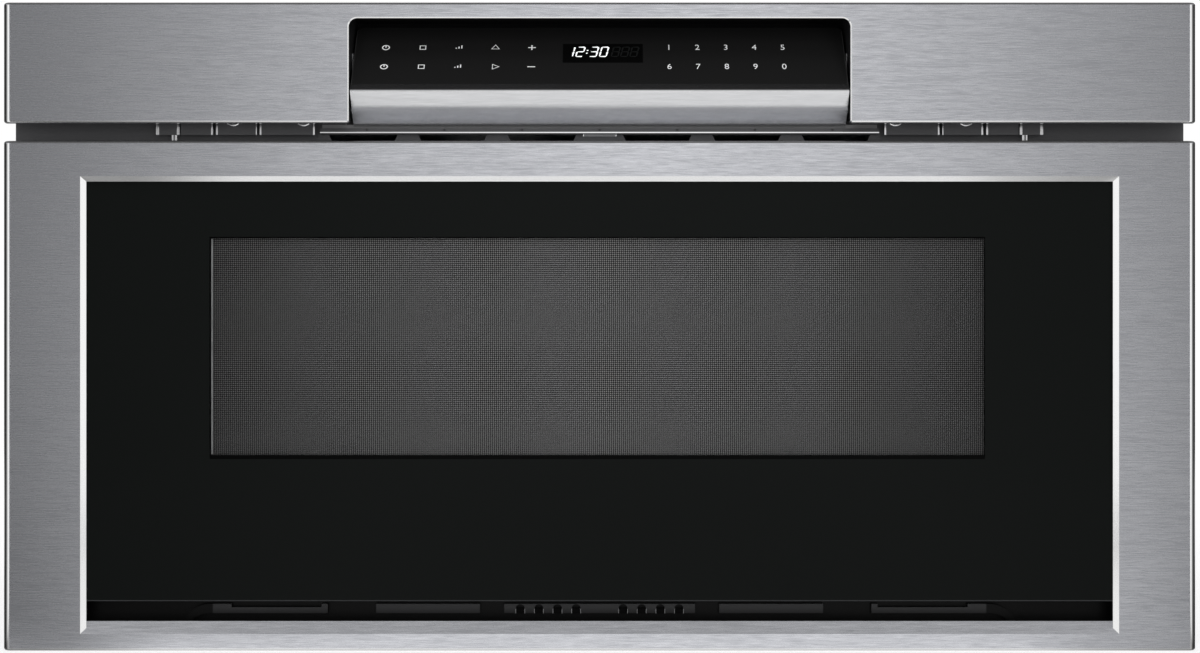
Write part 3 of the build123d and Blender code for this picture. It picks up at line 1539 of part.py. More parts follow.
# ---- Interlock fingers: two moulded hooks on the panel that close the door switches --------------
finger_reach = 19.0
finger_tip = 1.2
finger_foot = (10.0, 22.0)
finger_foot_corner = 2.0
with BuildPart() as interlock_fingers:
    with BuildSketch(facing_front(front_depth)):
        with Locations((finger_x, finger_height)):
            RectangleRounded(*finger_foot, finger_foot_corner)
    extrude(amount=-(flange_gap - clearance))
    with BuildSketch(facing_front(front_depth)):
        with Locations((finger_x, finger_height)):
            Rectangle(2 * finger_half, 2 * finger_half)
    extrude(amount=-finger_reach)
    chamfer(interlock_fingers.faces().sort_by(Axis.Y)[-1].edges(), finger_tip)
    mirror(about=Plane.YZ)
interlock_fingers.part.label = "interlock_fingers"
export_step(interlock_fingers.part, "parts/interlock_fingers.step")

# ---- Door switches: one behind the flange on each side, with its own bracket and plunger ---------
plunger_start = front_depth + finger_reach + clearance  # depth
plunger_radius = 2.0
plunger_travel = 2.0
plunger_length = 13.0
plunger_stand_out = 5.0
plunger_tip = 0.8
switch_start = plunger_start + plunger_stand_out
switch_length = 30.0
switch_height = 18.0
switch_width = 12.0
switch_edge = 1.0
terminal_count = 3
terminal_pitch = 6.0
terminal_length = 7.0
terminal_width = 6.0
terminal_sheet = 1.0
switch_shelf = 1.2
shelf_half = 13.0
shelf_drop = 16.0
shelf_top = finger_height - switch_height / 2
with BuildPart() as switch_brackets:
    with BuildSketch(Plane.YZ.offset(finger_x - shelf_half)):
        with BuildLine():
            Polyline(
                (at_depth(flange_back), shelf_top - shelf_drop),
                (at_depth(flange_back + switch_shelf), shelf_top - shelf_drop),
                (at_depth(flange_back + switch_shelf), shelf_top - switch_shelf),
                (at_depth(switch_start + switch_length), shelf_top - switch_shelf),
                (at_depth(switch_start + switch_length), shelf_top),
                (at_depth(flange_back), shelf_top),
                close=True,
            )
        make_face()
    extrude(amount=2 * shelf_half)
    mirror(about=Plane.YZ)
switch_brackets.part.label = "switch_brackets"
export_step(switch_brackets.part, "parts/switch_brackets.step")

with BuildPart() as interlock_switches:
    with BuildSketch(facing_front(switch_start)):
        with Locations((finger_x, finger_height)):
            Rectangle(switch_width, switch_height)
    extrude(amount=-switch_length)
    fillet(interlock_switches.edges().filter_by(Axis.Y), switch_edge)
    with BuildSketch(facing_front(switch_start + switch_length)):
        with Locations((finger_x, finger_height)):
            with GridLocations(1, terminal_pitch, 1, terminal_count):
                Rectangle(terminal_width, terminal_sheet)
    extrude(amount=-terminal_length)
    with BuildSketch(facing_front(switch_start)):
        with Locations((finger_x, finger_height)):
            Circle(plunger_radius + running_gap)
    extrude(amount=-(plunger_length + plunger_travel), mode=Mode.SUBTRACT)
    mirror(about=Plane.YZ)
interlock_switches.part.label = "interlock_switches"
export_step(interlock_switches.part, "parts/interlock_switches.step")

for side, side_name in ((-1, "left"), (1, "right")):
    with BuildPart() as plunger:
        with BuildSketch(facing_front(plunger_start)):
            with Locations((side * finger_x, finger_height)):
                Circle(plunger_radius)
        extrude(amount=-plunger_length)
        fillet(plunger.faces().sort_by(Axis.Y)[0].edges(), plunger_tip)
    plunger.part.label = f"switch_plunger_{side_name}"
    export_step(plunger.part, f"parts/switch_plunger_{side_name}.step")

# ---- Door bumpers: soft pads on the flange that the panel closes against -------------------------
bumper_x = 336.0
bumper_heights = (62.0, 292.0)
bumper_radius = 4.5
bumper_gap = 0.1
bumper_edge = 0.5
with BuildPart() as door_bumpers:
    with BuildSketch(facing_front(front_depth + bumper_gap)):
        for side in (-1, 1):
            for height in bumper_heights:
                with Locations((side * bumper_x, height)):
                    Circle(bumper_radius)
    extrude(amount=-(flange_gap - bumper_gap))
    chamfer(door_bumpers.faces().group_by(Axis.Y)[0].edges(), bumper_edge)
door_bumpers.part.label = "door_bumpers"
export_step(door_bumpers.part, "parts/door_bumpers.step")

# ==== Microwave parts =============================================================================

# ---- Waveguide: the duct and round well under the cavity's floor ---------------------------------
guide_sheet = 1.0
guide_height = 30.0
guide_half = 42.0
guide_top = cavity_floor - cavity_sheet
guide_bottom = guide_top - guide_height
magnetron_setback = 65.0  # from the cavity's back to the magnetron's middle
magnetron_depth = cavity_back + magnetron_setback
guide_end = magnetron_depth + 40  # depth
magnetron_port = 11.0
shaft_hole = 4.0
with BuildPart() as waveguide:
    with BuildSketch(Plane.XY.offset(guide_bottom)):
        with Locations((0, at_depth(antenna_depth))):
            Circle(antenna_well_radius)
        with Locations((0, at_depth(antenna_depth))):
            Rectangle(2 * guide_half, guide_end - antenna_depth, align=(Align.CENTER, Align.MIN))
    extrude(amount=guide_height)
    with BuildSketch(Plane.XY.offset(guide_bottom + guide_sheet)):
        with Locations((0, at_depth(antenna_depth))):
            Circle(antenna_well_radius - guide_sheet)
        with Locations((0, at_depth(antenna_depth))):
            Rectangle(
                2 * (guide_half - guide_sheet),
                guide_end - guide_sheet - antenna_depth,
                align=(Align.CENTER, Align.MIN),
            )
    extrude(amount=guide_height - 2 * guide_sheet, mode=Mode.SUBTRACT)
    with BuildSketch(Plane.XY.offset(guide_top - guide_sheet)):
        with Locations((0, at_depth(antenna_depth))):
            Circle(antenna_hole_radius)
        with Locations((0, at_depth(magnetron_depth))):
            Circle(magnetron_port)
    extrude(amount=guide_sheet, mode=Mode.SUBTRACT)
    with BuildSketch(Plane.XY.offset(guide_bottom)):
        with Locations((0, at_depth(antenna_depth))):
            Circle(shaft_hole)
    extrude(amount=guide_sheet, mode=Mode.SUBTRACT)
waveguide.part.label = "waveguide"
export_step(waveguide.part, "parts/waveguide.step")

# ---- Stirrer antenna: the slotted disc that turns in the well ------------------------------------
antenna_radius = 74.0
antenna_sheet = 1.5
antenna_rise = 18.0
antenna_slots = 6
antenna_slot_ring = 46.0
antenna_slot_length = 44.0
antenna_slot_width = 9.0
antenna_notch = 36.0
antenna_shaft = 3.0
antenna_motor_height = 16.0
shaft_socket = 6.0
antenna_height = guide_bottom + antenna_rise
notch_place = antenna_radius / sqrt(2)
with BuildPart() as stirrer_antenna:
    with BuildSketch(Plane.XY.offset(antenna_height)):
        with Locations((0, at_depth(antenna_depth))):
            Circle(antenna_radius)
        with Locations((0, at_depth(antenna_depth))):
            with PolarLocations(antenna_slot_ring, antenna_slots):
                SlotOverall(antenna_slot_length, antenna_slot_width, mode=Mode.SUBTRACT)
        with Locations((notch_place, at_depth(antenna_depth - notch_place))):
            Rectangle(antenna_notch, antenna_notch, mode=Mode.SUBTRACT)
    extrude(amount=antenna_sheet)
    with BuildSketch(Plane.XY.offset(guide_bottom - shaft_socket)):
        with Locations((0, at_depth(antenna_depth))):
            Circle(antenna_shaft)
    extrude(amount=antenna_height - guide_bottom + shaft_socket)
stirrer_antenna.part.label = "stirrer_antenna"
export_step(stirrer_antenna.part, "parts/stirrer_antenna.step")

# ---- Antenna motor: the flat motor under the well ------------------------------------------------
antenna_motor_radius = 24.0
antenna_motor_edge = 1.5
motor_ear_length = 68.0
motor_ear_width = 12.0
motor_ear_sheet = 1.5
motor_end_wall = 2.0
with BuildPart() as antenna_motor:
    with BuildSketch(Plane.XY.offset(guide_bottom - antenna_motor_height)):
        with Locations((0, at_depth(antenna_depth))):
            Circle(antenna_motor_radius)
    extrude(amount=antenna_motor_height)
    chamfer(antenna_motor.faces().sort_by(Axis.Z)[0].edges(), antenna_motor_edge)
    with BuildSketch(Plane.XY.offset(guide_bottom - motor_ear_sheet)):
        with Locations((0, at_depth(antenna_depth))):
            SlotOverall(motor_ear_length, motor_ear_width)
    extrude(amount=motor_ear_sheet)
    with BuildSketch(Plane.XY.offset(guide_bottom - antenna_motor_height + motor_end_wall)):
        with Locations((0, at_depth(antenna_depth))):
            Circle(antenna_shaft + running_gap)
    extrude(amount=antenna_motor_height, mode=Mode.SUBTRACT)
antenna_motor.part.label = "antenna_motor"
export_step(antenna_motor.part, "parts/antenna_motor.step")

# ---- Magnetron: the yoke and filter box, with its antenna dome in the waveguide ------------------
yoke_width = 96.0
yoke_depth = 76.0
yoke_height = 62.0
yoke_sheet = 2.0
anode_radius = 19.0
filter_height = 26.0
filter_corner = 3.0
filter_margin = 5.0
dome_radius = 9.0
dome_drop = 20.0
dome_edge = 3.0
fin_margin = 4.0
fin_count = 7
fin_sheet = 0.8
fin_pitch = (yoke_height - 2 * yoke_sheet) / (fin_count + 1)
with BuildPart() as magnetron:
    with BuildSketch(facing_front(magnetron_depth - yoke_depth / 2)):
        with Locations((0, guide_top)):
            Rectangle(yoke_width, yoke_height, align=(Align.CENTER, Align.MIN))
        with Locations((0, guide_top + yoke_sheet)):
            Rectangle(
                yoke_width - 2 * yoke_sheet,
                yoke_height - 2 * yoke_sheet,
                align=(Align.CENTER, Align.MIN),
                mode=Mode.SUBTRACT,
            )
    extrude(amount=-yoke_depth)
    with BuildSketch(Plane.XY.offset(guide_top + yoke_sheet)):
        with Locations((0, at_depth(magnetron_depth))):
            Circle(anode_radius)
    extrude(amount=yoke_height - 2 * yoke_sheet)
    with BuildSketch(Plane.XY.offset(guide_top + yoke_height)):
        with Locations((0, at_depth(magnetron_depth))):
            RectangleRounded(yoke_width - 2 * filter_margin, yoke_depth, filter_corner)
    extrude(amount=filter_height)
    with BuildSketch(Plane.XY.offset(guide_top - dome_drop)):
        with Locations((0, at_depth(magnetron_depth))):
            Circle(dome_radius)
    extrude(amount=dome_drop)
    chamfer(magnetron.faces().sort_by(Axis.Z)[0].edges(), dome_edge)
    # Thin aluminium fins are pressed onto the anode.
    for fin in range(fin_count):
        with BuildSketch(Plane.XY.offset(guide_top + yoke_sheet + (fin + 1) * fin_pitch)):
            with Locations((0, at_depth(magnetron_depth))):
                Rectangle(
                    yoke_width - 2 * (yoke_sheet + clearance), yoke_depth - 2 * fin_margin
                )
        extrude(amount=fin_sheet)
magnetron.part.label = "magnetron"
export_step(magnetron.part, "parts/magnetron.step")

# ---- High-voltage transformer: the laminated core and its two windings ---------------------------
core_x = -225.0
core_inset = 108.0  # from the back to the core's middle
core_depth = body_back - core_inset
core_width = 102.0
core_length = 70.0
core_height = 84.0
core_limb = 17.0
core_foot = 3.0
core_ear = 15.0
core_foot_length = core_length - 20
core_foot_corner = 3.0
core_base = cover_bottom + core_foot
core_slot = core_width / 2 - 2 * core_limb
core_slot_height = core_height - 2 * core_limb
winding_gap = 0.4
winding_corner = 8.0
with BuildPart() as transformer_core:
    with BuildSketch(facing_front(core_depth - core_length / 2)):
        with Locations((core_x, core_base)):
            Rectangle(core_width, core_height, align=(Align.CENTER, Align.MIN))
        with Locations((core_x, core_base + core_height / 2)):
            with GridLocations(core_width / 2, 1, 2, 1):
                Rectangle(core_slot, core_slot_height, mode=Mode.SUBTRACT)
    extrude(amount=-core_length)
    with BuildSketch(Plane.XY.offset(cover_bottom)):
        with Locations((core_x, at_depth(core_depth))):
            Rectangle(core_width + 2 * core_ear, core_foot_length)
    extrude(amount=core_foot)
    fillet(transformer_core.edges().filter_by(Axis.Z).group_by(Axis.Z)[0], core_foot_corner)
transformer_core.part.label = "transformer_core"
export_step(transformer_core.part, "parts/transformer_core.step")

with BuildPart() as transformer_windings:
    for level in (0, 1):
        winding_base = core_base + core_limb + winding_gap + level * core_slot_height / 2
        with BuildSketch(Plane.XY.offset(winding_base)):
            with Locations((core_x, at_depth(core_depth))):
                RectangleRounded(
                    2 * (core_limb + core_slot - winding_gap),
                    core_length + 2 * (core_slot - winding_gap),
                    winding_corner,
                )
                Rectangle(
                    2 * (core_limb + winding_gap),
                    core_length + 2 * winding_gap,
                    mode=Mode.SUBTRACT,
                )
        extrude(amount=core_slot_height / 2 - 2 * winding_gap)
transformer_windings.part.label = "transformer_windings"
export_step(transformer_windings.part, "parts/transformer_windings.step")

# ---- High-voltage capacitor: an oval can on its strap --------------------------------------------
capacitor_x = -105.0
capacitor_inset = 68.0  # from the back to the can's middle
capacitor_depth = body_back - capacitor_inset
can_length = 52.0
can_width = 33.0
can_height = 92.0
can_edge = 1.5
can_terminal_pitch = 20.0
can_terminal_radius = 3.0
can_terminal_height = 10.0
strap_sheet = 1.2
strap_height = 14.0
strap_rise = 34.0
strap_foot = (14.0, 16.0)
with BuildPart() as hv_capacitor:
    with BuildSketch(Plane.XY.offset(cover_bottom)):
        with Locations((capacitor_x, at_depth(capacitor_depth))):
            SlotOverall(can_length, can_width)
    extrude(amount=can_height)
    chamfer(hv_capacitor.faces().sort_by(Axis.Z)[-1].edges(), can_edge)
    with BuildSketch(Plane.XY.offset(cover_bottom + can_height)):
        with Locations((capacitor_x, at_depth(capacitor_depth))):
            with GridLocations(can_terminal_pitch, 1, 2, 1):
                Circle(can_terminal_radius)
    extrude(amount=can_terminal_height)
    with BuildSketch(Plane.XY.offset(cover_bottom + strap_rise)):
        with Locations((capacitor_x, at_depth(capacitor_depth))):
            SlotOverall(can_length + 2 * strap_sheet, can_width + 2 * strap_sheet)
    extrude(amount=strap_height)
    with BuildSketch(Plane.XY.offset(cover_bottom)):
        with Locations((capacitor_x, at_depth(capacitor_depth + can_width / 2 - strap_sheet))):
            Rectangle(*strap_foot, align=(Align.CENTER, Align.MIN))
    extrude(amount=strap_sheet)
hv_capacitor.part.label = "hv_capacitor"
export_step(hv_capacitor.part, "parts/hv_capacitor.step")

# ---- Cavity lamp: holder and bulb beside the cavity's right wall ---------------------------------
lamp_plate = (64.0, 44.0)
lamp_plate_sheet = 1.2
holder_radius = 14.0
holder_wall = 2.6
holder_length = 20.0
holder_end = 4.0
cap_radius = 7.0
cap_length = 6.0
bulb_radius = 9.0
bulb_length = 12.0
bulb_edge = 4.0
lamp_wall_x = cavity_half_width + cavity_sheet
lamp_base_x = lamp_wall_x + lamp_plate_sheet + holder_length
with BuildPart() as lamp_holder:
    with BuildSketch(Plane.YZ.offset(lamp_wall_x)):
        with Locations((at_depth(lamp_depth), lamp_height)):
            Rectangle(*lamp_plate)
            Circle(holder_radius - holder_wall, mode=Mode.SUBTRACT)
    extrude(amount=lamp_plate_sheet)
    with BuildSketch(Plane.YZ.offset(lamp_wall_x + lamp_plate_sheet)):
        with Locations((at_depth(lamp_depth), lamp_height)):
            Circle(holder_radius)
            Circle(holder_radius - holder_wall, mode=Mode.SUBTRACT)
    extrude(amount=holder_length)
    with BuildSketch(Plane.YZ.offset(lamp_base_x)):
        with Locations((at_depth(lamp_depth), lamp_height)):
            Circle(holder_radius)
    extrude(amount=holder_end)
with BuildPart() as lamp_bulb:
    with BuildSketch(Plane.YZ.offset(lamp_base_x)):
        with Locations((at_depth(lamp_depth), lamp_height)):
            Circle(cap_radius)
    extrude(amount=-cap_length)
    with BuildSketch(Plane.YZ.offset(lamp_base_x - cap_length)):
        with Locations((at_depth(lamp_depth), lamp_height)):
            Circle(bulb_radius)
    extrude(amount=-bulb_length)
    chamfer(lamp_bulb.faces().sort_by(Axis.X)[0].edges(), bulb_edge)
with BuildPart() as cavity_lamp:
    add(lamp_holder.part)
    add(lamp_bulb.part)
cavity_lamp.part.label = "cavity_lamp"
export_step(cavity_lamp.part, "parts/cavity_lamp.step")

# ==== Cooling =====================================================================================

# ---- Fan shroud: the square plate and ring behind the back grille --------------------------------
shroud_half = 66.0
shroud_sheet = 2.5
shroud_corner = 8.0
shroud_hole_pitch = 2 * shroud_half - 14
ring_depth = 30.0
ring_wall = 2.0
spoke_width = 8.0
spoke_thickness = 3.0
motor_radius = 26.0
motor_length = 34.0
motor_seat = 3.0  # ring round the motor's face
motor_seat_hole = 8.0  # inside the motor's edge
fan_front = back_start - ring_depth
with BuildPart() as fan_shroud:
    with BuildSketch(facing_front(back_start)):
        with Locations((fan_x, fan_height)):
            RectangleRounded(2 * shroud_half, 2 * shroud_half, shroud_corner)
            Circle(fan_radius, mode=Mode.SUBTRACT)
            with GridLocations(shroud_hole_pitch, shroud_hole_pitch, 2, 2):
                Circle(screw_hole, mode=Mode.SUBTRACT)
    extrude(amount=shroud_sheet)
    with BuildSketch(facing_front(back_start)):
        with Locations((fan_x, fan_height)):
            Circle(fan_radius + ring_wall)
            Circle(fan_radius, mode=Mode.SUBTRACT)
    extrude(amount=ring_depth)
    # Four arms hold the motor in front of the ring.
    with BuildSketch(facing_front(fan_front)):
        with Locations((fan_x, fan_height)):
            Circle(fan_radius + ring_wall)
            Circle(fan_radius, mode=Mode.SUBTRACT)
            Rectangle(2 * fan_radius + ring_wall, spoke_width)
            Rectangle(spoke_width, 2 * fan_radius + ring_wall)
            Circle(motor_radius + motor_seat)
            Circle(motor_radius - motor_seat_hole, mode=Mode.SUBTRACT)
    extrude(amount=spoke_thickness)
fan_shroud.part.label = "fan_shroud"
export_step(fan_shroud.part, "parts/fan_shroud.step")

# ---- Fan motor -----------------------------------------------------------------------------------
fan_shaft = 2.5
fan_shaft_length = 24.0
bearing_radius = 8.0
bearing_length = 5.0
motor_edge = 2.5
motor_face = fan_front - spoke_thickness  # depth
with BuildPart() as fan_motor:
    with BuildSketch(facing_front(motor_face)):
        with Locations((fan_x, fan_height)):
            Circle(motor_radius)
    extrude(amount=motor_length)
    chamfer(fan_motor.faces().sort_by(Axis.Y)[0].edges(), motor_edge)
    with BuildSketch(facing_front(motor_face)):
        with Locations((fan_x, fan_height)):
            Circle(bearing_radius)
    extrude(amount=-bearing_length)
    with BuildSketch(facing_front(motor_face + bearing_length)):
        with Locations((fan_x, fan_height)):
            Circle(fan_shaft + running_gap)
    extrude(amount=fan_shaft_length, mode=Mode.SUBTRACT)
fan_motor.part.label = "fan_motor"
export_step(fan_motor.part, "parts/fan_motor.step")

# ---- Fan rotor: five pitched blades round a hub, on its shaft ------------------------------------
blade_count = 5
root_pitch = 50.0
tip_pitch = 66.0
root_chord = 16.0
tip_chord = 28.0
blade_thickness = 1.6
blade_edge = 0.6
blade_root_overlap = 2.0
hub_radius = 15.0
hub_depth = 18.0
hub_edge = 2.0
rotor_start = motor_face + bearing_length + 4.0  # depth


def blade_section(blade, radius, pitch):
    """A plane across a blade, at a radius from the fan's axis; its local X is the pitched chord."""
    turn = 2 * pi * blade / blade_count
    along = Vector(cos(turn), 0, sin(turn))
    across = Vector(-sin(turn), 0, cos(turn))
    centre = Vector(fan_x, at_depth(rotor_start + hub_depth / 2), fan_height)
    chord = Vector(0, cos(radians(pitch)), 0) + across * sin(radians(pitch))
    return Plane(origin=centre + along * radius, x_dir=chord, z_dir=along)


with BuildPart() as fan_rotor:
    with BuildSketch(facing_front(rotor_start)):
        with Locations((fan_x, fan_height)):
            Circle(hub_radius)
    extrude(amount=-hub_depth)
    chamfer(fan_rotor.faces().sort_by(Axis.Y)[-1].edges(), hub_edge)
    for blade in range(blade_count):
        # Each blade runs from a narrow root to a wider tip that is turned further.
        with BuildSketch(blade_section(blade, hub_radius - blade_root_overlap, root_pitch)):
            RectangleRounded(root_chord, blade_thickness, blade_edge)
        with BuildSketch(blade_section(blade, fan_radius - fan_tip_gap, tip_pitch)):
            RectangleRounded(tip_chord, blade_thickness, blade_edge)
        loft()
    with BuildSketch(facing_front(rotor_start)):
        with Locations((fan_x, fan_height)):
            Circle(fan_shaft)
    extrude(amount=fan_shaft_length)
fan_rotor.part.label = "fan_rotor"
export_step(fan_rotor.part, "parts/fan_rotor.step")

# ==== Electronics =================================================================================

# ---- Board tray: the moulded tray on the air duct ------------------------------------------------
tray_half = 112.0
tray_start = cradle_back + 12  # depth
tray_length = 230.0
tray_wall = 2.0
tray_rise = 14.0
tray_corner = 4.0
tray_bottom = duct_top
standoff_radius = 4.0
standoff_height = 5.0
standoff_inset = 12.0
tray_middle = tray_start + tray_length / 2  # depth
with BuildPart() as board_tray:
    with BuildSketch(Plane.XY.offset(tray_bottom)):
        with Locations((0, at_depth(tray_start))):
            Rectangle(2 * tray_half, tray_length, align=(Align.CENTER, Align.MIN))
    extrude(amount=tray_rise)
    fillet(board_tray.edges().filter_by(Axis.Z), tray_corner)
    tray_open_face = board_tray.faces().sort_by(Axis.Z)[-1]
    offset(amount=-tray_wall, openings=tray_open_face)
    with BuildSketch(Plane.XY.offset(tray_bottom + tray_wall)):
        with Locations((0, at_depth(tray_middle))):
            with GridLocations(
                2 * (tray_half - standoff_inset), tray_length - 2 * standoff_inset, 2, 2
            ):
                Circle(standoff_radius)
    extrude(amount=standoff_height)
board_tray.part.label = "board_tray"
export_step(board_tray.part, "parts/board_tray.step")

# ---- Main board: the control and relay board -----------------------------------------------------
board_z = tray_bottom + tray_wall + standoff_height
parts_z = board_z + board_sheet
board_margin = 2.0
board_half = tray_half - tray_wall - board_margin
board_length = tray_length - 2 * (tray_wall + board_margin)
supply_side = 42.0
supply_length = 36.0
supply_height = 30.0
supply_place = (-60.0, 60.0)  # across, and behind the tray's front
relay_side = 16.0
relay_length = 28.0
relay_height = 18.0
relay_columns = 3
relay_rows = 2
relay_column_pitch = 26.0
relay_row_pitch = 34.0
relay_place = (50.0, 50.0)
smoother_radius = 8.0
smoother_height = 22.0
smoother_pitch = 26.0
smoother_count = 3
smoother_place = (-70.0, 150.0)
socket_length = 70.0
socket_height = 12.0
socket_place = (40.0, 195.0)
processor_side = 20.0
processor_height = 3.0
processor_place = (30.0, 140.0)


def on_board(place):
    """A place on the main board, from one counted from the front of its tray."""
    return (place[0], at_depth(tray_start + place[1]))


with BuildPart() as main_board:
    with BuildSketch(Plane.XY.offset(board_z)):
        with Locations((0, at_depth(tray_middle))):
            Rectangle(2 * board_half, board_length)
    extrude(amount=board_sheet)
    with BuildSketch(Plane.XY.offset(parts_z)):
        with Locations(on_board(supply_place)):
            Rectangle(supply_side, supply_length)
    extrude(amount=supply_height)
    with BuildSketch(Plane.XY.offset(parts_z)):
        with Locations(on_board(relay_place)):
            with GridLocations(relay_column_pitch, relay_row_pitch, relay_columns, relay_rows):
                Rectangle(relay_side, relay_length)
    extrude(amount=relay_height)
    with BuildSketch(Plane.XY.offset(parts_z)):
        with Locations(on_board(smoother_place)):
            with GridLocations(smoother_pitch, 1, smoother_count, 1):
                Circle(smoother_radius)
    extrude(amount=smoother_height)
    with BuildSketch(Plane.XY.offset(parts_z)):
        with Locations(on_board(socket_place)):
            Rectangle(socket_length, socket_height)
    extrude(amount=socket_height)
    with BuildSketch(Plane.XY.offset(parts_z)):
        with Locations(on_board(processor_place)):
            Rectangle(processor_side, processor_side)
    extrude(amount=processor_height)
main_board.part.label = "main_board"
export_step(main_board.part, "parts/main_board.step")

# ==== Screws ======================================================================================


def pan_head(x, depth, height, side, reach):
    """A pan-head screw, its head behind the surface (side 1) or in front of it (side -1)."""
    with BuildPart(mode=Mode.PRIVATE) as screw:
        with BuildSketch(facing_front(depth)):
            with Locations((x, height)):
                Circle(screw_head_radius)
        extrude(amount=-side * screw_head_height)
        with BuildSketch(facing_front(depth)):
            with Locations((x, height)):
                Circle(screw_radius)
        extrude(amount=side * reach)
    return screw.part


# ---- Case screws: they hold the back panel, and the cover's sides to the base pan ----------------
screw_reach = 8.0
with BuildPart() as case_screws:
    for side in (-1, 1):
        for height in back_screw_heights:
            side_x = side * (body_half - case_screw_inset)
            add(pan_head(side_x, body_back, height, 1, screw_reach))
    for x in base_screw_x:
        add(pan_head(x, body_back, cover_bottom + case_screw_inset, 1, screw_reach))
case_screws.part.label = "case_screws"
export_step(case_screws.part, "parts/case_screws.step")

# ---- Drawer screws: they hold the arms and the rack's foot to the panel --------------------------
with BuildPart() as drawer_screws:
    drawer_screw_seat = front_depth - panel_sheet
    drawer_screw_reach = panel_sheet + arm_sheet
    for side in (-1, 1):
        arm_x = side * arm_screw_x
        rack_x = side * rack_screw_x
        for rise in (-arm_screw_rise, arm_screw_rise):
            height = slide_middle + rise
            add(pan_head(arm_x, drawer_screw_seat, height, -1, drawer_screw_reach))
        add(pan_head(rack_x, drawer_screw_seat, rack_screw_height, -1, drawer_screw_reach))
drawer_screws.part.label = "drawer_screws"
export_step(drawer_screws.part, "parts/drawer_screws.step")
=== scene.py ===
import math

import bmesh
import bpy
from mathutils import Matrix, Vector


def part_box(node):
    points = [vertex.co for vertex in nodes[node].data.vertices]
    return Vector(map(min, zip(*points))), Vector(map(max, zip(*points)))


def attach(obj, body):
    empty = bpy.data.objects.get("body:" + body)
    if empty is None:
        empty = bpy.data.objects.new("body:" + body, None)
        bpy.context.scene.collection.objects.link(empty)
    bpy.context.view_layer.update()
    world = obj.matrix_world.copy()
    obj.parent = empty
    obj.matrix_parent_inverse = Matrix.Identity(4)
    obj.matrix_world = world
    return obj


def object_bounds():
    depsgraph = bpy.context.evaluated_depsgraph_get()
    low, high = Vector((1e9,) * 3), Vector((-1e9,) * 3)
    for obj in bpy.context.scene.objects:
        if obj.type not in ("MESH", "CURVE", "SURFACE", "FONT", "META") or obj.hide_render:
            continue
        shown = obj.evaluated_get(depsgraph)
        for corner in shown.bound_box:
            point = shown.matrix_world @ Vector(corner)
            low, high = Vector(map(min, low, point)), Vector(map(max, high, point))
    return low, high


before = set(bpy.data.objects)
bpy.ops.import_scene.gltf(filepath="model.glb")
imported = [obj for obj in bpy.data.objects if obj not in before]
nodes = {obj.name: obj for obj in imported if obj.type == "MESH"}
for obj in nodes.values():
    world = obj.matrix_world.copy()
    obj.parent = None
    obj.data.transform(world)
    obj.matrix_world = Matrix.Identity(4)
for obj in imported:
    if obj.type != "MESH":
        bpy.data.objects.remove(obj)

cad_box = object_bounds()


# ---- The studio ------------------------------------------------------------------------------
# A pale floor that the drawer stands on, a white room behind it and soft lamps round it. The steel
# mirrors a made-up room: a round glow ahead of the front, white walls at its two sides.

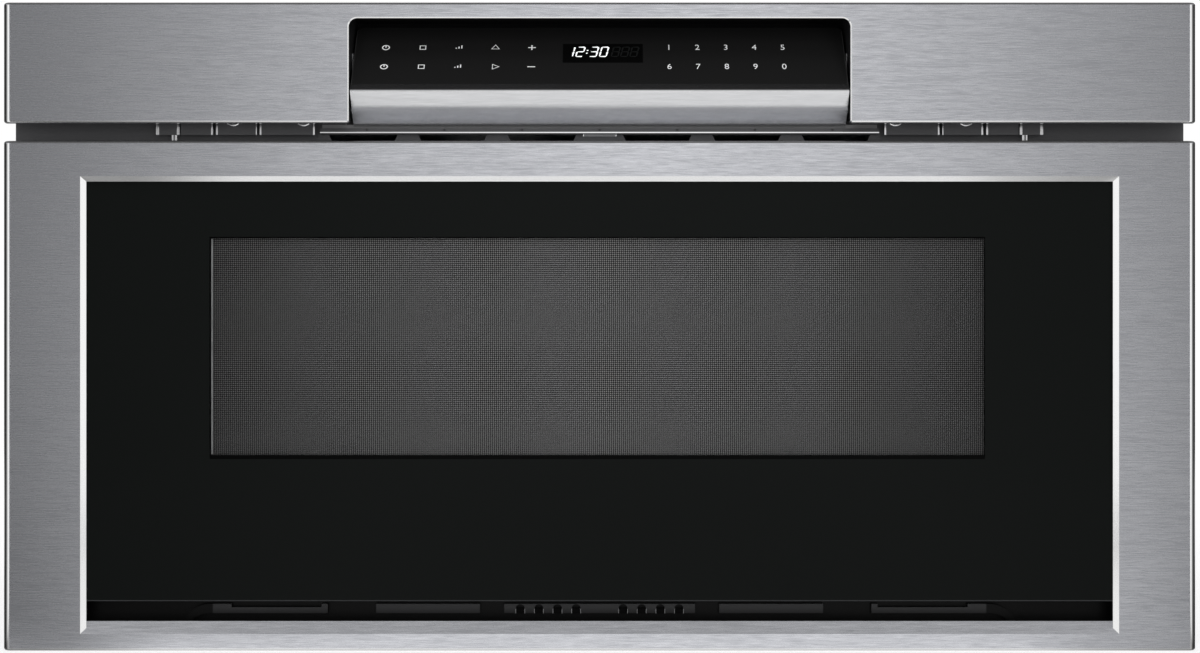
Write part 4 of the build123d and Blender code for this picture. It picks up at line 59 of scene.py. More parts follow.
class Wire:
    """One output of a finish's nodes. Python's operators on it add Math nodes."""

    def __init__(self, tree, socket=None):
        self.tree = tree
        self.socket = socket

    def node(self, kind, settings=None, inputs=None, output=0):
        """Adds a node, sets it, feeds its sockets and gives the wire of one of its outputs."""
        node = self.tree.nodes.new("ShaderNode" + kind)
        for name, value in (settings or {}).items():
            if name == "stops":
                ramp = node.color_ramp
                while len(ramp.elements) < len(value):
                    ramp.elements.new(1.0)
                for element, (position, shade) in zip(ramp.elements, value):
                    element.position = position
                    element.color = (shade, shade, shade, 1.0)
            else:
                setattr(node, name, value)
        for name, value in (inputs or {}).items():
            if isinstance(value, Wire):
                self.tree.links.new(value.socket, node.inputs[name])
            elif isinstance(value, tuple) and node.inputs[name].type == "RGBA":
                node.inputs[name].default_value = (*value, 1.0)
            else:
                node.inputs[name].default_value = value
        return Wire(self.tree, node.outputs[output])

    def maths(self, operation, *values):
        return self.node("Math", {"operation": operation}, dict(enumerate(values)))

    def scaled(self, *scale):
        """These coordinates, multiplied by one number for each axis."""
        return self.node("VectorMath", {"operation": "MULTIPLY"}, {0: self, 1: scale})

    def axes(self):
        """The x, y and z of these coordinates."""
        parts = self.node("SeparateXYZ", inputs={0: self}).socket.node.outputs
        return [Wire(self.tree, part) for part in parts]

    def noise(self, detail=2.0, roughness=0.5):
        """Soft noise, one bump a unit of these coordinates."""
        return self.node("TexNoise", inputs={"Vector": self, "Scale": 1.0, "Detail": detail,
                                             "Roughness": roughness})

    def within(self, low, high, soft=0.0002):
        """1 where this value lies between low and high, with a soft edge."""
        middle, half = (low + high) / 2, (high - low) / 2
        return (half - abs(self - middle)).ramp(-soft, soft)

    def ramp(self, start, end, low=0.0, high=1.0, smooth=False):
        """A number that goes from low to high as this value goes from start to end."""
        kind = {"interpolation_type": "SMOOTHSTEP" if smooth else "LINEAR"}
        return self.node("MapRange", kind, {0: self, 1: start, 2: end, 3: low, 4: high})

    def between(self, low, high):
        """A number or a colour that goes from low to high as this value goes from 0 to 1."""
        if isinstance(low, (tuple, Wire)):
            return self.node("Mix", {"data_type": "RGBA"}, {0: self, 6: low, 7: high}, 2)
        return self * (high - low) + low

    def bump(self, distance):
        """The surface that this height gives, with its full height in metres."""
        return self.node("Bump", inputs={"Height": self, "Distance": distance, "Strength": 1.0})

    def into(self, shader, socket):
        self.tree.links.new(self.socket, shader.inputs[socket])

    def __add__(self, other):
        return self.maths("ADD", self, other)

    def __sub__(self, other):
        return self.maths("SUBTRACT", self, other)

    def __rsub__(self, other):
        return self.maths("SUBTRACT", other, self)

    def __mul__(self, other):
        return self.maths("MULTIPLY", self, other)

    def __truediv__(self, other):
        return self.maths("DIVIDE", self, other)

    def __gt__(self, other):
        return self.maths("GREATER_THAN", self, other)

    def __lt__(self, other):
        return self.maths("LESS_THAN", self, other)

    def __abs__(self):
        return self.maths("ABSOLUTE", self)

    def root(self):
        return self.maths("SQRT", self)

    def at_least(self, other):
        return self.maths("MAXIMUM", self, other)

    def at_most(self, other):
        return self.maths("MINIMUM", self, other)

    __radd__ = __add__
    __rmul__ = __mul__


def new_finish(name, shade, roughness, sockets=None):
    """A new material: itself, its shader and its object coordinates."""
    finish = bpy.data.materials.new(name)
    finish.use_nodes = True
    shader = finish.node_tree.nodes["Principled BSDF"]
    shader.inputs["Base Color"].default_value = (*shade, 1.0)
    shader.inputs["Roughness"].default_value = roughness
    for socket, value in (sockets or {}).items():
        shader.inputs[socket].default_value = value
    return finish, shader, Wire(finish.node_tree).node("TexCoord", output="Object")


def link(piece):
    bpy.context.scene.collection.objects.link(piece)
    return piece


def finished(name, mesh, finish):
    """The object of a finished mesh, whose normals are set outwards."""
    bmesh.ops.recalc_face_normals(mesh, faces=mesh.faces)
    data = bpy.data.meshes.new(name)
    mesh.to_mesh(data)
    mesh.free()
    data.materials.append(finish)
    return link(bpy.data.objects.new(name, data))


glow_centre = 0.022
glow_reach = 0.315       # as the sine of the angle off straight ahead
glow_peak = 0.95
glow_rest = 0.07
black, white = (0.0, 0.0, 0.0), (1.0, 1.0, 1.0)


def glow_of(aside, inner):
    """The glow ahead of the front: full up to inner, fading to its rest at both sides."""
    return abs(aside - glow_centre).ramp(inner, glow_reach, glow_peak, glow_rest, smooth=True)


floor_radius = 2.6
floor_fade = 1.5         # from here outwards the floor melts into the white room
floor_finish, shader, place = new_finish("pale_floor", (0.86, 0.86, 0.86), 0.7, {
    "Emission Strength": 1.0})
mottle = place.scaled(3, 3, 3).noise(3.0).between((0.84, 0.84, 0.84), (0.88, 0.88, 0.88))
reflected = place.node("LightPath", output="Is Glossy Ray")
reflected.between(mottle, black).into(shader, "Base Color")
across, depth, up = place.axes()
reach = (across * across + depth * depth).root()
reach.ramp(floor_fade, floor_radius - 0.05, 1.0, 0.0, smooth=True).into(shader, "Alpha")

# In the steel the floor carries the glow on, and is white close to the front and past its corners.
front_depth = cad_box[0].y
front_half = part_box("fascia")[1].x
past_side = 0.385        # just outside the front's two sides
eye_distance = 1.11      # how far behind the front the eye's mirror image stands
floor_glow_inner = 0.11
near_start, near_full = -0.46, -0.37
near_middle, near_side, near_side_share = 0.26, 0.36, 0.35
corner_slope, corner_softness = 0.5, 0.04
beside_slope, beside_light = 0.10, 0.06
behind_start, behind_full, behind_light = -0.05, 0.20, 0.8
mirrored_lift, seen_lift = 0.88, 0.60
sight = (across * across + (depth - eye_distance) * (depth - eye_distance)).root()
side = abs(across)
near = depth.ramp(near_start, near_full, smooth=True)
near = near * side.ramp(near_middle, near_side, 1.0, near_side_share, smooth=True)
lateral = side - past_side
forward = front_depth - depth
corner = (lateral - forward * corner_slope).ramp(0.0, corner_softness)
pool = glow_of(across / sight, floor_glow_inner).at_least(near).at_least(corner)
beside = (side > past_side) * (lateral * beside_slope - forward > 0.0)
behind = depth.ramp(behind_start, behind_full, 0.0, behind_light)
pool = (pool * (1.0 - beside) + beside * beside_light).at_least(behind) * reflected
white_lift = pool * mirrored_lift + place.node("LightPath", output="Is Camera Ray") * seen_lift
white_lift.between(black, white).into(shader, "Emission Color")
floor_mesh = bmesh.new()
bmesh.ops.create_circle(floor_mesh, cap_ends=True, radius=floor_radius, segments=96)
finished("studio_floor", floor_mesh, floor_finish)

world = bpy.data.worlds.new("studio_room")
bpy.context.scene.world = world
world.use_nodes = True
world.cycles.sampling_method = "NONE"
room = Wire(world.node_tree)
room_light = 0.32
overhead_light = 0.52
overhead_start, overhead_full, overhead_lean = 0.30, 0.50, 0.10
glow_edge = 0.914        # as the cosine of the angle off straight ahead
# From straight behind (0) past the sides (0.5) to ahead (1): a dark room, then the white walls.
wall_stops = [(0.0, 0.6), (0.012, 0.06), (0.52, 0.06), (0.56, 1.0), (0.93, 1.0), (0.957, 0.0)]
seen = (room.node("LightPath", output="Is Camera Ray")
        + room.node("LightPath", output="Is Transmission Ray"))
mirrored = room.node("LightPath", output="Is Glossy Ray")
way_x, way_y, way_z = room.node("TexCoord", output="Generated").axes()
level = (way_x * way_x + way_y * way_y).root() + 0.0001
turned = way_y * -1.0 / level      # 1 ahead of the front, -1 behind it
glow = glow_of(way_x / level, (0.05 - way_z * 0.5).at_least(0.0))
walls = turned.node("ValToRGB", {"stops": wall_stops}, {0: turned * 0.5 + 0.5})
round_room = (turned > glow_edge).between(walls, glow.between(black, white))
overhead = (way_z - turned * overhead_lean).ramp(overhead_start, overhead_full)
ringed = overhead.between(round_room, (overhead_light, overhead_light, overhead_light))
light_of = mirrored.between((room_light, room_light, room_light * 1.02), ringed)
seen.at_most(1.0).between(light_of, white).into(world.node_tree.nodes["Background"], "Color")


def softbox(name, centre, aim, width, height, brightness):
    """A soft lamp that looks from its centre towards a point; brightness 1 looks white."""
    lamp = bpy.data.lights.new(name, "AREA")
    lamp.shape = "RECTANGLE"
    lamp.size, lamp.size_y = width, height
    lamp.energy = brightness * math.pi * width * height
    piece = link(bpy.data.objects.new(name, lamp))
    piece.location = centre
    piece.rotation_euler = (Vector(aim) - Vector(centre)).to_track_quat("-Z", "Y").to_euler()
    piece.visible_glossy = False     # steel and glass mirror the room, not the lamps


softbox("front_softbox", (0.2, -3.4, 0.35), (0.0, front_depth, 0.2), 2.4, 2.4, 2.5)
softbox("top_softbox", (0.0, -2.4, 2.3), (0.0, -0.2, 0.2), 2.4, 1.2, 0.8)
softbox("back_softbox", (0.0, 2.6, 2.0), (0.0, 0.3, 0.2), 2.4, 1.4, 1.2)

scene = bpy.context.scene
scene.view_settings.view_transform = "Standard"
camera = bpy.data.cameras.new("camera")
camera.sensor_width = 36.0
camera.lens = 68.48      # one of 1200 pixels shows 0.635 mm of the front
eye = link(bpy.data.objects.new("camera", camera))
eye.location = (0.00025, front_depth - 1.45, cad_box[1].z / 2)
eye.rotation_euler = (math.radians(90), 0.0, 0.0)
scene.camera = eye


# ---- The sheet-metal case --------------------------------------------------------------------
# The base, cover, back, brackets, duct and waveguide are folded from galvanised steel, spot
# welded or screwed. Hot-dip zinc shows as flat crystals a centimetre or so across.

def dress(finish, *names):
    """Puts this finish on the CAD's own nodes."""
    for name in names:
        for place_in_node in nodes[name].material_slots:
            place_in_node.material = finish


galvanised, shader, place = new_finish("galvanised_steel", (0.52, 0.53, 0.54), 0.4, {"Metallic": 1.0})
wander = place.scaled(90, 90, 90).noise(2.0)
crystals = place.node("VectorMath", {"operation": "ADD"}, {0: place.scaled(150, 150, 150), 1: wander})
flake = crystals.node("TexVoronoi", inputs={"Vector": crystals, "Scale": 1.0}, output="Color")
flake = flake.node("RGBToBW", inputs={0: flake})
cloud = place.scaled(7, 7, 7).noise(3.0)
tone = flake * 0.6 + cloud * 0.5
tone.between((0.50, 0.51, 0.53), (0.66, 0.67, 0.68)).into(shader, "Base Color")
flake.between(0.34, 0.48).into(shader, "Roughness")
(place.scaled(900, 900, 900).noise(3.0) + flake).bump(0.00003).into(shader, "Normal")
dress(galvanised, "outer_cover", "back_panel", "base_pan", "air_duct", "slide_brackets", "waveguide",
      "motor_bracket", "switch_brackets")


# ---- The dark mounting flange and the vent plates ----------------------------------------------
# The flange that screws to the cabinet, the slotted grille under the fascia and the plate with
# the row of holes are steel, powder coated almost black with a fine even texture.

dark_coat, shader, place = new_finish("dark_powder_coat", (0.075, 0.075, 0.078), 0.5)
fleck = place.scaled(300, 1400, 1400).noise(2.0)
fleck.between((0.058, 0.058, 0.060), (0.092, 0.092, 0.096)).into(shader, "Base Color")
fleck.between(0.42, 0.6).into(shader, "Roughness")
fleck.bump(0.00006).into(shader, "Normal")
dress(dark_coat, "front_flange", "vent_grille", "fascia_brackets", "vent_baffle")


# ---- Small parts in the gap under the fascia ----------------------------------------------------
# The brackets' tabs have bright sheared edges, and pan-head screws hold them to the fascia. The
# baffle ends in a bright rolled lip; a pale grey strip behind it paints light into the shadowed gap, and
# the grille's raised plate is the same pale grey as painted light.

bright_zinc, shader, place = new_finish("bright_zinc", (0.92, 0.92, 0.93), 0.2, {"Metallic": 1.0})
scuffed = place.scaled(700, 700, 90).noise(2.0)
scuffed.between((0.86, 0.86, 0.87), (0.96, 0.96, 0.97)).into(shader, "Base Color")
scuffed.between(0.14, 0.26).into(shader, "Roughness")


def plate(mesh, low, high, edge):
    """Adds a thin plate between two corners, its edges bevelled."""
    low, high = Vector(low), Vector(high)
    made = bmesh.ops.create_cube(mesh, size=1.0)["verts"]
    bmesh.ops.scale(mesh, verts=made, vec=high - low)
    bmesh.ops.translate(mesh, verts=made, vec=(low + high) / 2)
    edges = list({each for vert in made for each in vert.link_edges})
    bmesh.ops.bevel(mesh, geom=edges, offset=edge, affect="EDGES", segments=2, profile=0.5, material=-1)


def twin_plates(mesh, inner, outer, lows, highs, edge):
    """Adds a plate at the left and one at the right, between two distances from the middle."""
    for left, right in ((-outer, -inner), (inner, outer)):
        plate(mesh, (left, *lows), (right, *highs), edge)


bracket_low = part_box("fascia_brackets")[0]
bracket_face = -0.3210
tab_height = 0.0088
sheared_edges = [(0.1833, 0.1844), (0.2177, 0.2187), (0.2206, 0.2212), (0.2457, 0.2468),
                 (0.2488, 0.2500), (0.2704, 0.2720), (0.2835, 0.2854)]
edges = bmesh.new()
for inner, outer in sheared_edges:
    twin_plates(edges, inner, outer, (bracket_face - 0.0002, bracket_low.z),
                (bracket_face + 0.0004, bracket_low.z + tab_height), 0.00012)
bracket_edges = finished("bracket_edges", edges, bright_zinc)
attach(bracket_edges, "housing")

screw_radius = 0.0064
screw_height = 0.0022
screw_up = 0.3402
upright = Matrix.Rotation(math.radians(90), 3, "X")
screws = bmesh.new()
for x in (0.1902, 0.2355):
    for side in (-1, 1):
        head = bmesh.ops.create_cone(screws, cap_ends=True, segments=28, radius1=screw_radius,
                                     radius2=screw_radius * 0.86, depth=screw_height)["verts"]
        rim = [each for each in {e for vert in head for e in vert.link_edges}
               if all(vert.co.z > 0 for vert in each.verts)]
        bmesh.ops.bevel(screws, geom=rim, offset=0.0006, affect="EDGES", segments=2, profile=0.5,
                        material=-1)
        head = [vert for vert in screws.verts if abs(vert.co.x) < 0.01 and abs(vert.co.y) < 0.01]
        bmesh.ops.rotate(screws, verts=head, cent=(0, 0, 0), matrix=upright)
        bmesh.ops.translate(screws, verts=head, vec=(side * x, bracket_face - screw_height / 2, screw_up))
bracket_screws = finished("bracket_screws", screws, bright_zinc)
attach(bracket_screws, "housing")

clips = bmesh.new()
for inner, outer in ((0.2720, 0.2734), (0.2743, 0.2753)):
    twin_plates(clips, inner, outer, (bracket_face + 0.0002, 0.3256),
                (bracket_face + 0.0012, 0.3294), 0.0002)
bracket_clips = finished("bracket_clips", clips, bright_zinc)
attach(bracket_clips, "housing")

baffle_low, baffle_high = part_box("vent_baffle")
lip_height = 0.0009
lip = bmesh.new()
plate(lip, (baffle_low.x, baffle_low.y - 0.0005, baffle_low.z),
      (baffle_high.x, baffle_low.y + 0.0004, baffle_low.z + lip_height), 0.0001)
lip_finish, shader, place = new_finish("lip_bright_zinc", (0.90, 0.90, 0.91), 0.06, {"Metallic": 1.0})
brushing = place.scaled(1400, 1400, 1400).noise(1.0)
brushing.between((0.86, 0.86, 0.87), (0.94, 0.94, 0.95)).into(shader, "Base Color")
baffle_lip = finished("vent_baffle_lip", lip, lip_finish)
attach(baffle_lip, "housing")

# Grey nylon for the stop pads; on the strip and the plate in the gap the same pale grey is painted light.
pads_and_gap_light, shader, place = new_finish("grey_nylon_and_painted_gap_light", (0.34, 0.34, 0.345), 0.45)
spark = place.scaled(1800, 1800, 1800).noise(1.0)
spark.between((0.30, 0.30, 0.305), (0.38, 0.38, 0.385)).into(shader, "Base Color")
cradle_wall = 0.0040
cradle_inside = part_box("console_cradle")[1].x - cradle_wall
pads = bmesh.new()
twin_plates(pads, cradle_inside - 0.0006, cradle_inside + 0.0002,
            (-0.3120, 0.3713), (-0.2960, 0.3828), 0.0002)
cradle_pads = finished("console_stop_pads", pads, pads_and_gap_light)
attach(cradle_pads, "housing")

# A pale grey strip behind the baffle stands in for light in the shadowed gap: painted light.
flange_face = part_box("front_flange")[0].y
gap_light_top = 0.3366
gap_light_mesh = bmesh.new()
plate(gap_light_mesh, (baffle_low.x + 0.0005, flange_face - 0.0007, baffle_high.z + 0.0005),
      (baffle_high.x - 0.0005, flange_face - 0.0002, gap_light_top), 0.0001)
gap_painted_light = finished("gap_painted_light", gap_light_mesh, pads_and_gap_light)
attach(gap_painted_light, "housing")

# The raised plate takes the same pale grey, paler than the dark coat, as painted light in the gap.
grille_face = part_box("vent_grille")[0].y
raised = bmesh.new()
plate(raised, (-0.0107, grille_face - 0.0006, 0.3289), (0.0109, grille_face + 0.0002, 0.3306), 0.0002)
grille_plate = finished("grille_centre_plate", raised, pads_and_gap_light)
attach(grille_plate, "housing")
plate_ends = bmesh.new()
for x in (-0.0104, 0.0106):
    plate(plate_ends, (x - 0.0003, grille_face - 0.0008, 0.3290),
          (x + 0.0003, grille_face, 0.3305), 0.0001)
grille_ends = finished("grille_plate_ends", plate_ends, bright_zinc)
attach(grille_ends, "housing")


# ---- The enamelled cavity, bin and door panel ----------------------------------------------------
# The cooking space is pressed steel with a grey fired enamel: smooth and glossy, with a fine
# pale and dark speckle and a slight orange peel.

enamel, shader, place = new_finish("grey_enamel", (0.27, 0.28, 0.29), 0.22)
speckle = place.scaled(1100, 1100, 1100).noise(1.0)
speckle_stops = [(0.36, 0.0), (0.44, 0.5), (0.60, 0.5), (0.68, 1.0)]
dots = speckle.node("ValToRGB", {"stops": speckle_stops}, {0: speckle})
dots = dots.node("RGBToBW", inputs={0: dots})
dots.between((0.17, 0.175, 0.18), (0.37, 0.385, 0.395)).into(shader, "Base Color")
peel = place.scaled(260, 260, 260).noise(2.0)
peel.between(0.17, 0.28).into(shader, "Roughness")
peel.bump(0.00008).into(shader, "Normal")
dress(enamel, "cavity_shell", "drawer_bin", "door_panel")


# ---- The drawer's floor plate and the inner window ------------------------------------------------
# The food stands on a plate of white glass ceramic laid in the bin. The inner window is a sheet of
# clear toughened glass behind the screen, in the door panel.

ceramic, shader, place = new_finish("white_glass_ceramic", (0.74, 0.74, 0.71), 0.16, {"Coat Weight": 0.3})
grain = place.scaled(700, 700, 700).noise(2.0)
grain.between((0.68, 0.68, 0.65), (0.78, 0.78, 0.75)).into(shader, "Base Color")
place.scaled(40, 40, 40).noise(3.0).between(0.12, 0.24).into(shader, "Roughness")
dress(ceramic, "drawer_floor")

clear_glass, shader, place = new_finish("clear_glass", (0.80, 0.84, 0.83), 0.04,
                                        {"IOR": 1.5, "Alpha": 0.25})
place.scaled(25, 25, 25).noise(3.0).between(0.02, 0.10).into(shader, "Roughness")
dress(clear_glass, "inner_window")


# ---- The perforated screen -----------------------------------------------------------------------
# A thin steel sheet behind the glass, painted black and pierced by rows of tiny round holes that
# keep the microwaves in. The holes are painted with the pale cavity behind them: painted light, brightest
# in the middle and shading off towards the sides.

hole_pitch = 0.00127
hole_radius = 0.00046
screen, shader, place = new_finish("perforated_screen", (0.02, 0.02, 0.02), 0.5, {
    "Specular IOR Level": 0.2})
across, depth, up = place.axes()
cell_x = (across * (1 / hole_pitch)).maths("FRACT", across * (1 / hole_pitch) + 1000.0) - 0.5
cell_z = (up * (1 / hole_pitch)).maths("FRACT", up * (1 / hole_pitch)) - 0.5
from_hole = (cell_x * cell_x + cell_z * cell_z).root()
hole_share = hole_radius / hole_pitch
hole = from_hole.ramp(hole_share - 0.08, hole_share + 0.08, 1.0, 0.0)
# The holes' colour is painted light, falling off into painted shade towards the sides.
lit_half = 0.25
lit_stops = [(0.0, 0.78), (0.55, 0.64), (0.85, 0.44), (1.0, 0.32)]
side = abs(across) * (1 / lit_half)
lit = side.node("ValToRGB", {"stops": lit_stops}, {0: side})
hole.between((0.016, 0.016, 0.016), lit).into(shader, "Base Color")
(1.0 - hole).bump(0.0002).into(shader, "Normal")
dress(screen, "door_screen")


# ---- The black plastic mouldings -------------------------------------------------------------------
# The choke cover, the vent trim under the glass, the console's tray and cradle, the door fingers
# and switches, the fan and its shroud are moulded in black plastic with a fine spark texture.

black_plastic, shader, place = new_finish("black_plastic", (0.018, 0.018, 0.019), 0.42)
texture = place.scaled(2200, 2200, 2200).noise(1.0)
broad = place.scaled(45, 45, 45).noise(2.0)
mixed = texture * 0.4 + broad * 0.6
mixed.between((0.013, 0.013, 0.014), (0.026, 0.026, 0.027)).into(shader, "Base Color")
(texture * 0.5 + broad * 0.5).between(0.32, 0.55).into(shader, "Roughness")
texture.bump(0.00004).into(shader, "Normal")
dress(black_plastic, "choke_cover", "console_body", "console_cradle", "interlock_fingers",
      "interlock_switches", "fan_rotor", "fan_shroud", "cord_gland")


# ---- The vent trim ------------------------------------------------------------------------------
# The moulding under the glass is black, with painted light on its ledges that grows towards their tops,
# as from the light that comes in over the sill. Its air holes show as dark plates of painted shade
# between thin pale rims that paint highlights.

trim_black, shader, place = new_finish("trim_black", (0.010, 0.010, 0.010), 0.35, {
    "Specular IOR Level": 0.12})
across, depth, up = place.axes()
side = abs(across)
ledge_edge = 0.0004
ledge = (side.within(-1.0, 0.0615, ledge_edge) + side.within(0.0770, 0.1440, ledge_edge)
         + side.within(0.1750, 0.2490, ledge_edge))     # the middle ledge and two more at each side
# Painted light on the ledges, brighter towards their tops.
lit_from_above = up.ramp(0.0200, 0.0275, 0.08, 1.0)
grain = place.scaled(1500, 1500, 1500).noise(1.0)
ledge_face = -0.3200
outermost = depth < ledge_face + 0.0008
ledge_painted_light = ledge * lit_from_above * outermost * (grain * 0.3 + 0.85)
ledge_painted_light.between((0.0042, 0.0042, 0.0042), (0.072, 0.072, 0.074)).into(shader, "Base Color")
grain.between(0.28, 0.45).into(shader, "Roughness")
grain.bump(0.00003).into(shader, "Normal")
dress(trim_black, "vent_trim")

hole_centres = (0.0151, 0.0271, 0.0391, 0.0511)
hole_up = 0.0244
hole_half = 0.0029
rim_half = 0.00016
# Dark plates over the air holes paint their shade, and pale grey strips at their edges paint highlights.
hole_shade_plates, rim_highlights = bmesh.new(), bmesh.new()
for centre in [side * x for side in (-1, 1) for x in hole_centres]:
    plate(hole_shade_plates, (centre - hole_half, ledge_face - 0.0002, 0.0212),
          (centre + hole_half, ledge_face + 0.0004, hole_up), 0.00005)
    for edge in (centre - hole_half, centre + hole_half):
        plate(rim_highlights, (edge - rim_half, ledge_face - 0.0004, 0.0213),
              (edge + rim_half, ledge_face + 0.0004, hole_up - 0.0001), 0.00005)
hole_shade_finish, shader, place = new_finish("hole_painted_shade", (0.004, 0.004, 0.004), 0.6, {
    "Specular IOR Level": 0.05})
place.scaled(900, 900, 900).noise(1.0).between(0.55, 0.65).into(shader, "Roughness")
# These pale rims are painted highlights on the black moulding.
rim_highlight_finish, shader, place = new_finish("rim_painted_highlight", (0.34, 0.34, 0.35), 0.25)
glint = place.scaled(900, 900, 900).noise(2.0)
glint.between((0.28, 0.28, 0.29), (0.42, 0.42, 0.43)).into(shader, "Base Color")
trim_hole_shade = finished("trim_hole_shade", hole_shade_plates, hole_shade_finish)
trim_rim_highlights = finished("trim_rim_highlights", rim_highlights, rim_highlight_finish)
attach(trim_hole_shade, "drawer")
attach(trim_rim_highlights, "drawer")


# ---- The stainless front ------------------------------------------------------------------------
# The drawer's frame and the fascia are folded from stainless sheet, ground with a belt along the
# front: long fine scratches lie side by side, so lamps smear into broad upright glows.

crown_from = 0.3370      # the apron's upper half is crowned a little towards the front
crown_rise = 0.0130
crown_slope = 0.32
polished_depth = front_depth + 0.0080
outer_bend = front_half - 0.0059      # beyond this the front's sides bend back
fascia_up = 0.30         # the fascia and the apron lie above this, the drawer's lower edge far below
# Tints for the front's turned faces: a pale one that paints highlights on the polished bends, darker ones
# that paint shade on the side bends, the foot and the turns that face up, and a paler one that paints
# light on the undersides.
polished_highlight_tint = (0.91, 0.91, 0.91)
side_turn_painted_shade = (0.20, 0.20, 0.20)
foot_painted_shade = (0.50, 0.50, 0.50)
top_turn_painted_shade = (0.22, 0.22, 0.225)
under_painted_light = (0.22, 0.22, 0.23)


def brushed(name, shade, darker, roughness, direction, turned_edges=1.0, metallic=1.0, crowned=0.0):
    """Ground steel whose scratches run along one axis; direction is their size along each axis.

    The bends and bevels beside the front's flat face are polished, and tinted pale as painted highlights;
    turned_edges says how much. Their side bends and foot, and the turns that face up, are painted shade,
    and the undersides above the door painted light.
    """
    finish, shader, place = new_finish(name, shade, roughness, {
        "Metallic": metallic, "Anisotropic": 0.5, "Anisotropic Rotation": 0.25})
    bent = place.node("VectorMath", {"operation": "ADD"}, {
        0: place, 1: place.scaled(12, 12, 12).noise(1.0).between(-0.0006, 0.0006)})
    scratch = bent.scaled(*direction).noise(4.0, 0.66)
    streak = bent.scaled(*[size * 0.36 for size in direction]).noise(3.0, 0.55)
    cloud = place.scaled(9, 9, 9).noise(2.0)
    tone = (scratch * 0.62 + streak * 0.28 + cloud * 0.10).ramp(0.32, 0.68)
    facing = place.node("TexCoord", output="Normal").axes()
    across, depth, up = place.axes()
    in_front = depth < polished_depth
    polish = (facing[1] > -0.988) * (facing[2] < 0.06) * in_front * turned_edges
    # Painted shade goes on the outer side bends, the turns that face up and the foot; painted light goes
    # on the undersides.
    side_turn = abs(facing[0]).within(0.37, 1.2, 0.03) * (abs(across) > outer_bend)
    top_turn = facing[2].within(0.12, 0.98, 0.03) * (up > fascia_up) * in_front
    foot = (facing[2] < -0.50) * (up < 0.01)
    under = (facing[2] < -0.90) * (up > fascia_up)
    painted_edge_tones = foot.between(side_turn.between(polished_highlight_tint, side_turn_painted_shade), foot_painted_shade)
    ground = top_turn.between(tone.between(darker, shade), top_turn_painted_shade)
    under.between(polish.between(ground, painted_edge_tones), under_painted_light).into(shader, "Base Color")
    # Undersides lose most of their metal, so that their paler tint shows as painted light from below.
    ((1.0 - under * 0.9) * metallic).into(shader, "Metallic")
    ground_roughness = tone.between(roughness + 0.06, roughness - 0.04)
    ((1.0 - polish) * ground_roughness + polish * 0.14).into(shader, "Roughness")
    height = (scratch * 0.7 + streak * 0.3) * 0.000015
    bowed = (up - crown_from).at_least(0.0).at_most(crown_rise)
    straight = (up - crown_from - crown_rise).at_least(0.0)
    crown = bowed * bowed * (-0.5 * crown_slope / crown_rise) - straight * crown_slope
    (height + crown * crowned).bump(1.0).into(shader, "Normal")
    return finish


stainless = brushed("brushed_stainless", (0.815, 0.824, 0.868), (0.51, 0.518, 0.552), 0.26,
                    (85, 1400, 1400))
dress(stainless, "fascia", "door_frame")
apron_steel = brushed("brushed_apron", (0.84, 0.845, 0.86), (0.72, 0.725, 0.74), 0.22, (70, 900, 900),
                      turned_edges=0.0, metallic=0.85, crowned=1.0)
dress(apron_steel, "console_apron")


# ---- The door glass --------------------------------------------------------------------------------
# A pane of toughened glass, printed black on its back except for a clear window in front of the
# screen. A thin pale strip along the window's left side paints a highlight on the screen's folded edge.

screen_rim = 0.0100      # how far the screen reaches past its window
screen_low, screen_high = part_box("door_screen")
view_left, view_right = screen_low.x + screen_rim, screen_high.x - screen_rim
view_bottom, view_top = screen_low.z + screen_rim, screen_high.z - screen_rim


def black_print(name):
    """Glass with a black print behind it: even, glossy, with faint wiping marks in the gloss."""
    finish, shader, place = new_finish(name, (0.0085, 0.0097, 0.0091), 0.05, {"Specular IOR Level": 0.04})
    place.scaled(9, 9, 30).noise(4.0).between(0.03, 0.10).into(shader, "Roughness")
    return finish, shader, place


glass_low, glass_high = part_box("door_glass")
door_glass, shader, place = black_print("printed_door_glass")
across, depth, up = place.axes()
clear = across.within(view_left, view_right) * up.within(view_bottom, view_top)
clear.between(1.0, 0.22).into(shader, "Alpha")
border = across.within(view_left, view_right) * up.within(view_bottom - 0.0025, view_top + 0.0008)
arris = up < glass_low.z + 0.0007
printed = border.between((0.0085, 0.0097, 0.0091), (0.0010, 0.0011, 0.0011))
arris.between(printed, (0.072, 0.074, 0.076)).into(shader, "Base Color")
dress(door_glass, "door_glass")

# A pale strip that paints a highlight along the window's left edge.
edge_highlight_finish, shader, place = new_finish("edge_highlight_finish", (0.80, 0.82, 0.82), 0.35, {"Metallic": 0.4})
scuffed = place.scaled(900, 900, 90).noise(2.0)
scuffed.between((0.70, 0.72, 0.72), (0.86, 0.87, 0.87)).into(shader, "Base Color")
strip_width = 0.0009
strip_depth = 0.0002
strip = bmesh.new()
bmesh.ops.create_cube(strip, size=1.0)
bmesh.ops.scale(strip, verts=strip.verts, vec=(strip_width, strip_depth, view_top - view_bottom - 0.001))
bmesh.ops.bevel(strip, geom=strip.edges[:], offset=0.00005, affect="EDGES", segments=2, profile=0.5,
                material=-1)
bmesh.ops.translate(strip, verts=strip.verts, vec=(
    view_left + strip_width, glass_high.y + strip_depth / 2, (view_bottom + view_top) / 2))
window_highlight_strip = finished("window_edge_highlight", strip, edge_highlight_finish)
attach(window_highlight_strip, "drawer")


# ---- The console's glass and its print ---------------------------------------------------------------
# The touch panel is a pane of black glass. Plain key marks and the digits are printed on it in pale
# grey ink with a faint glow of painted light, and the clock's digits shine through it from the display
# behind.

console_glass, shader, place = black_print("printed_console_glass")

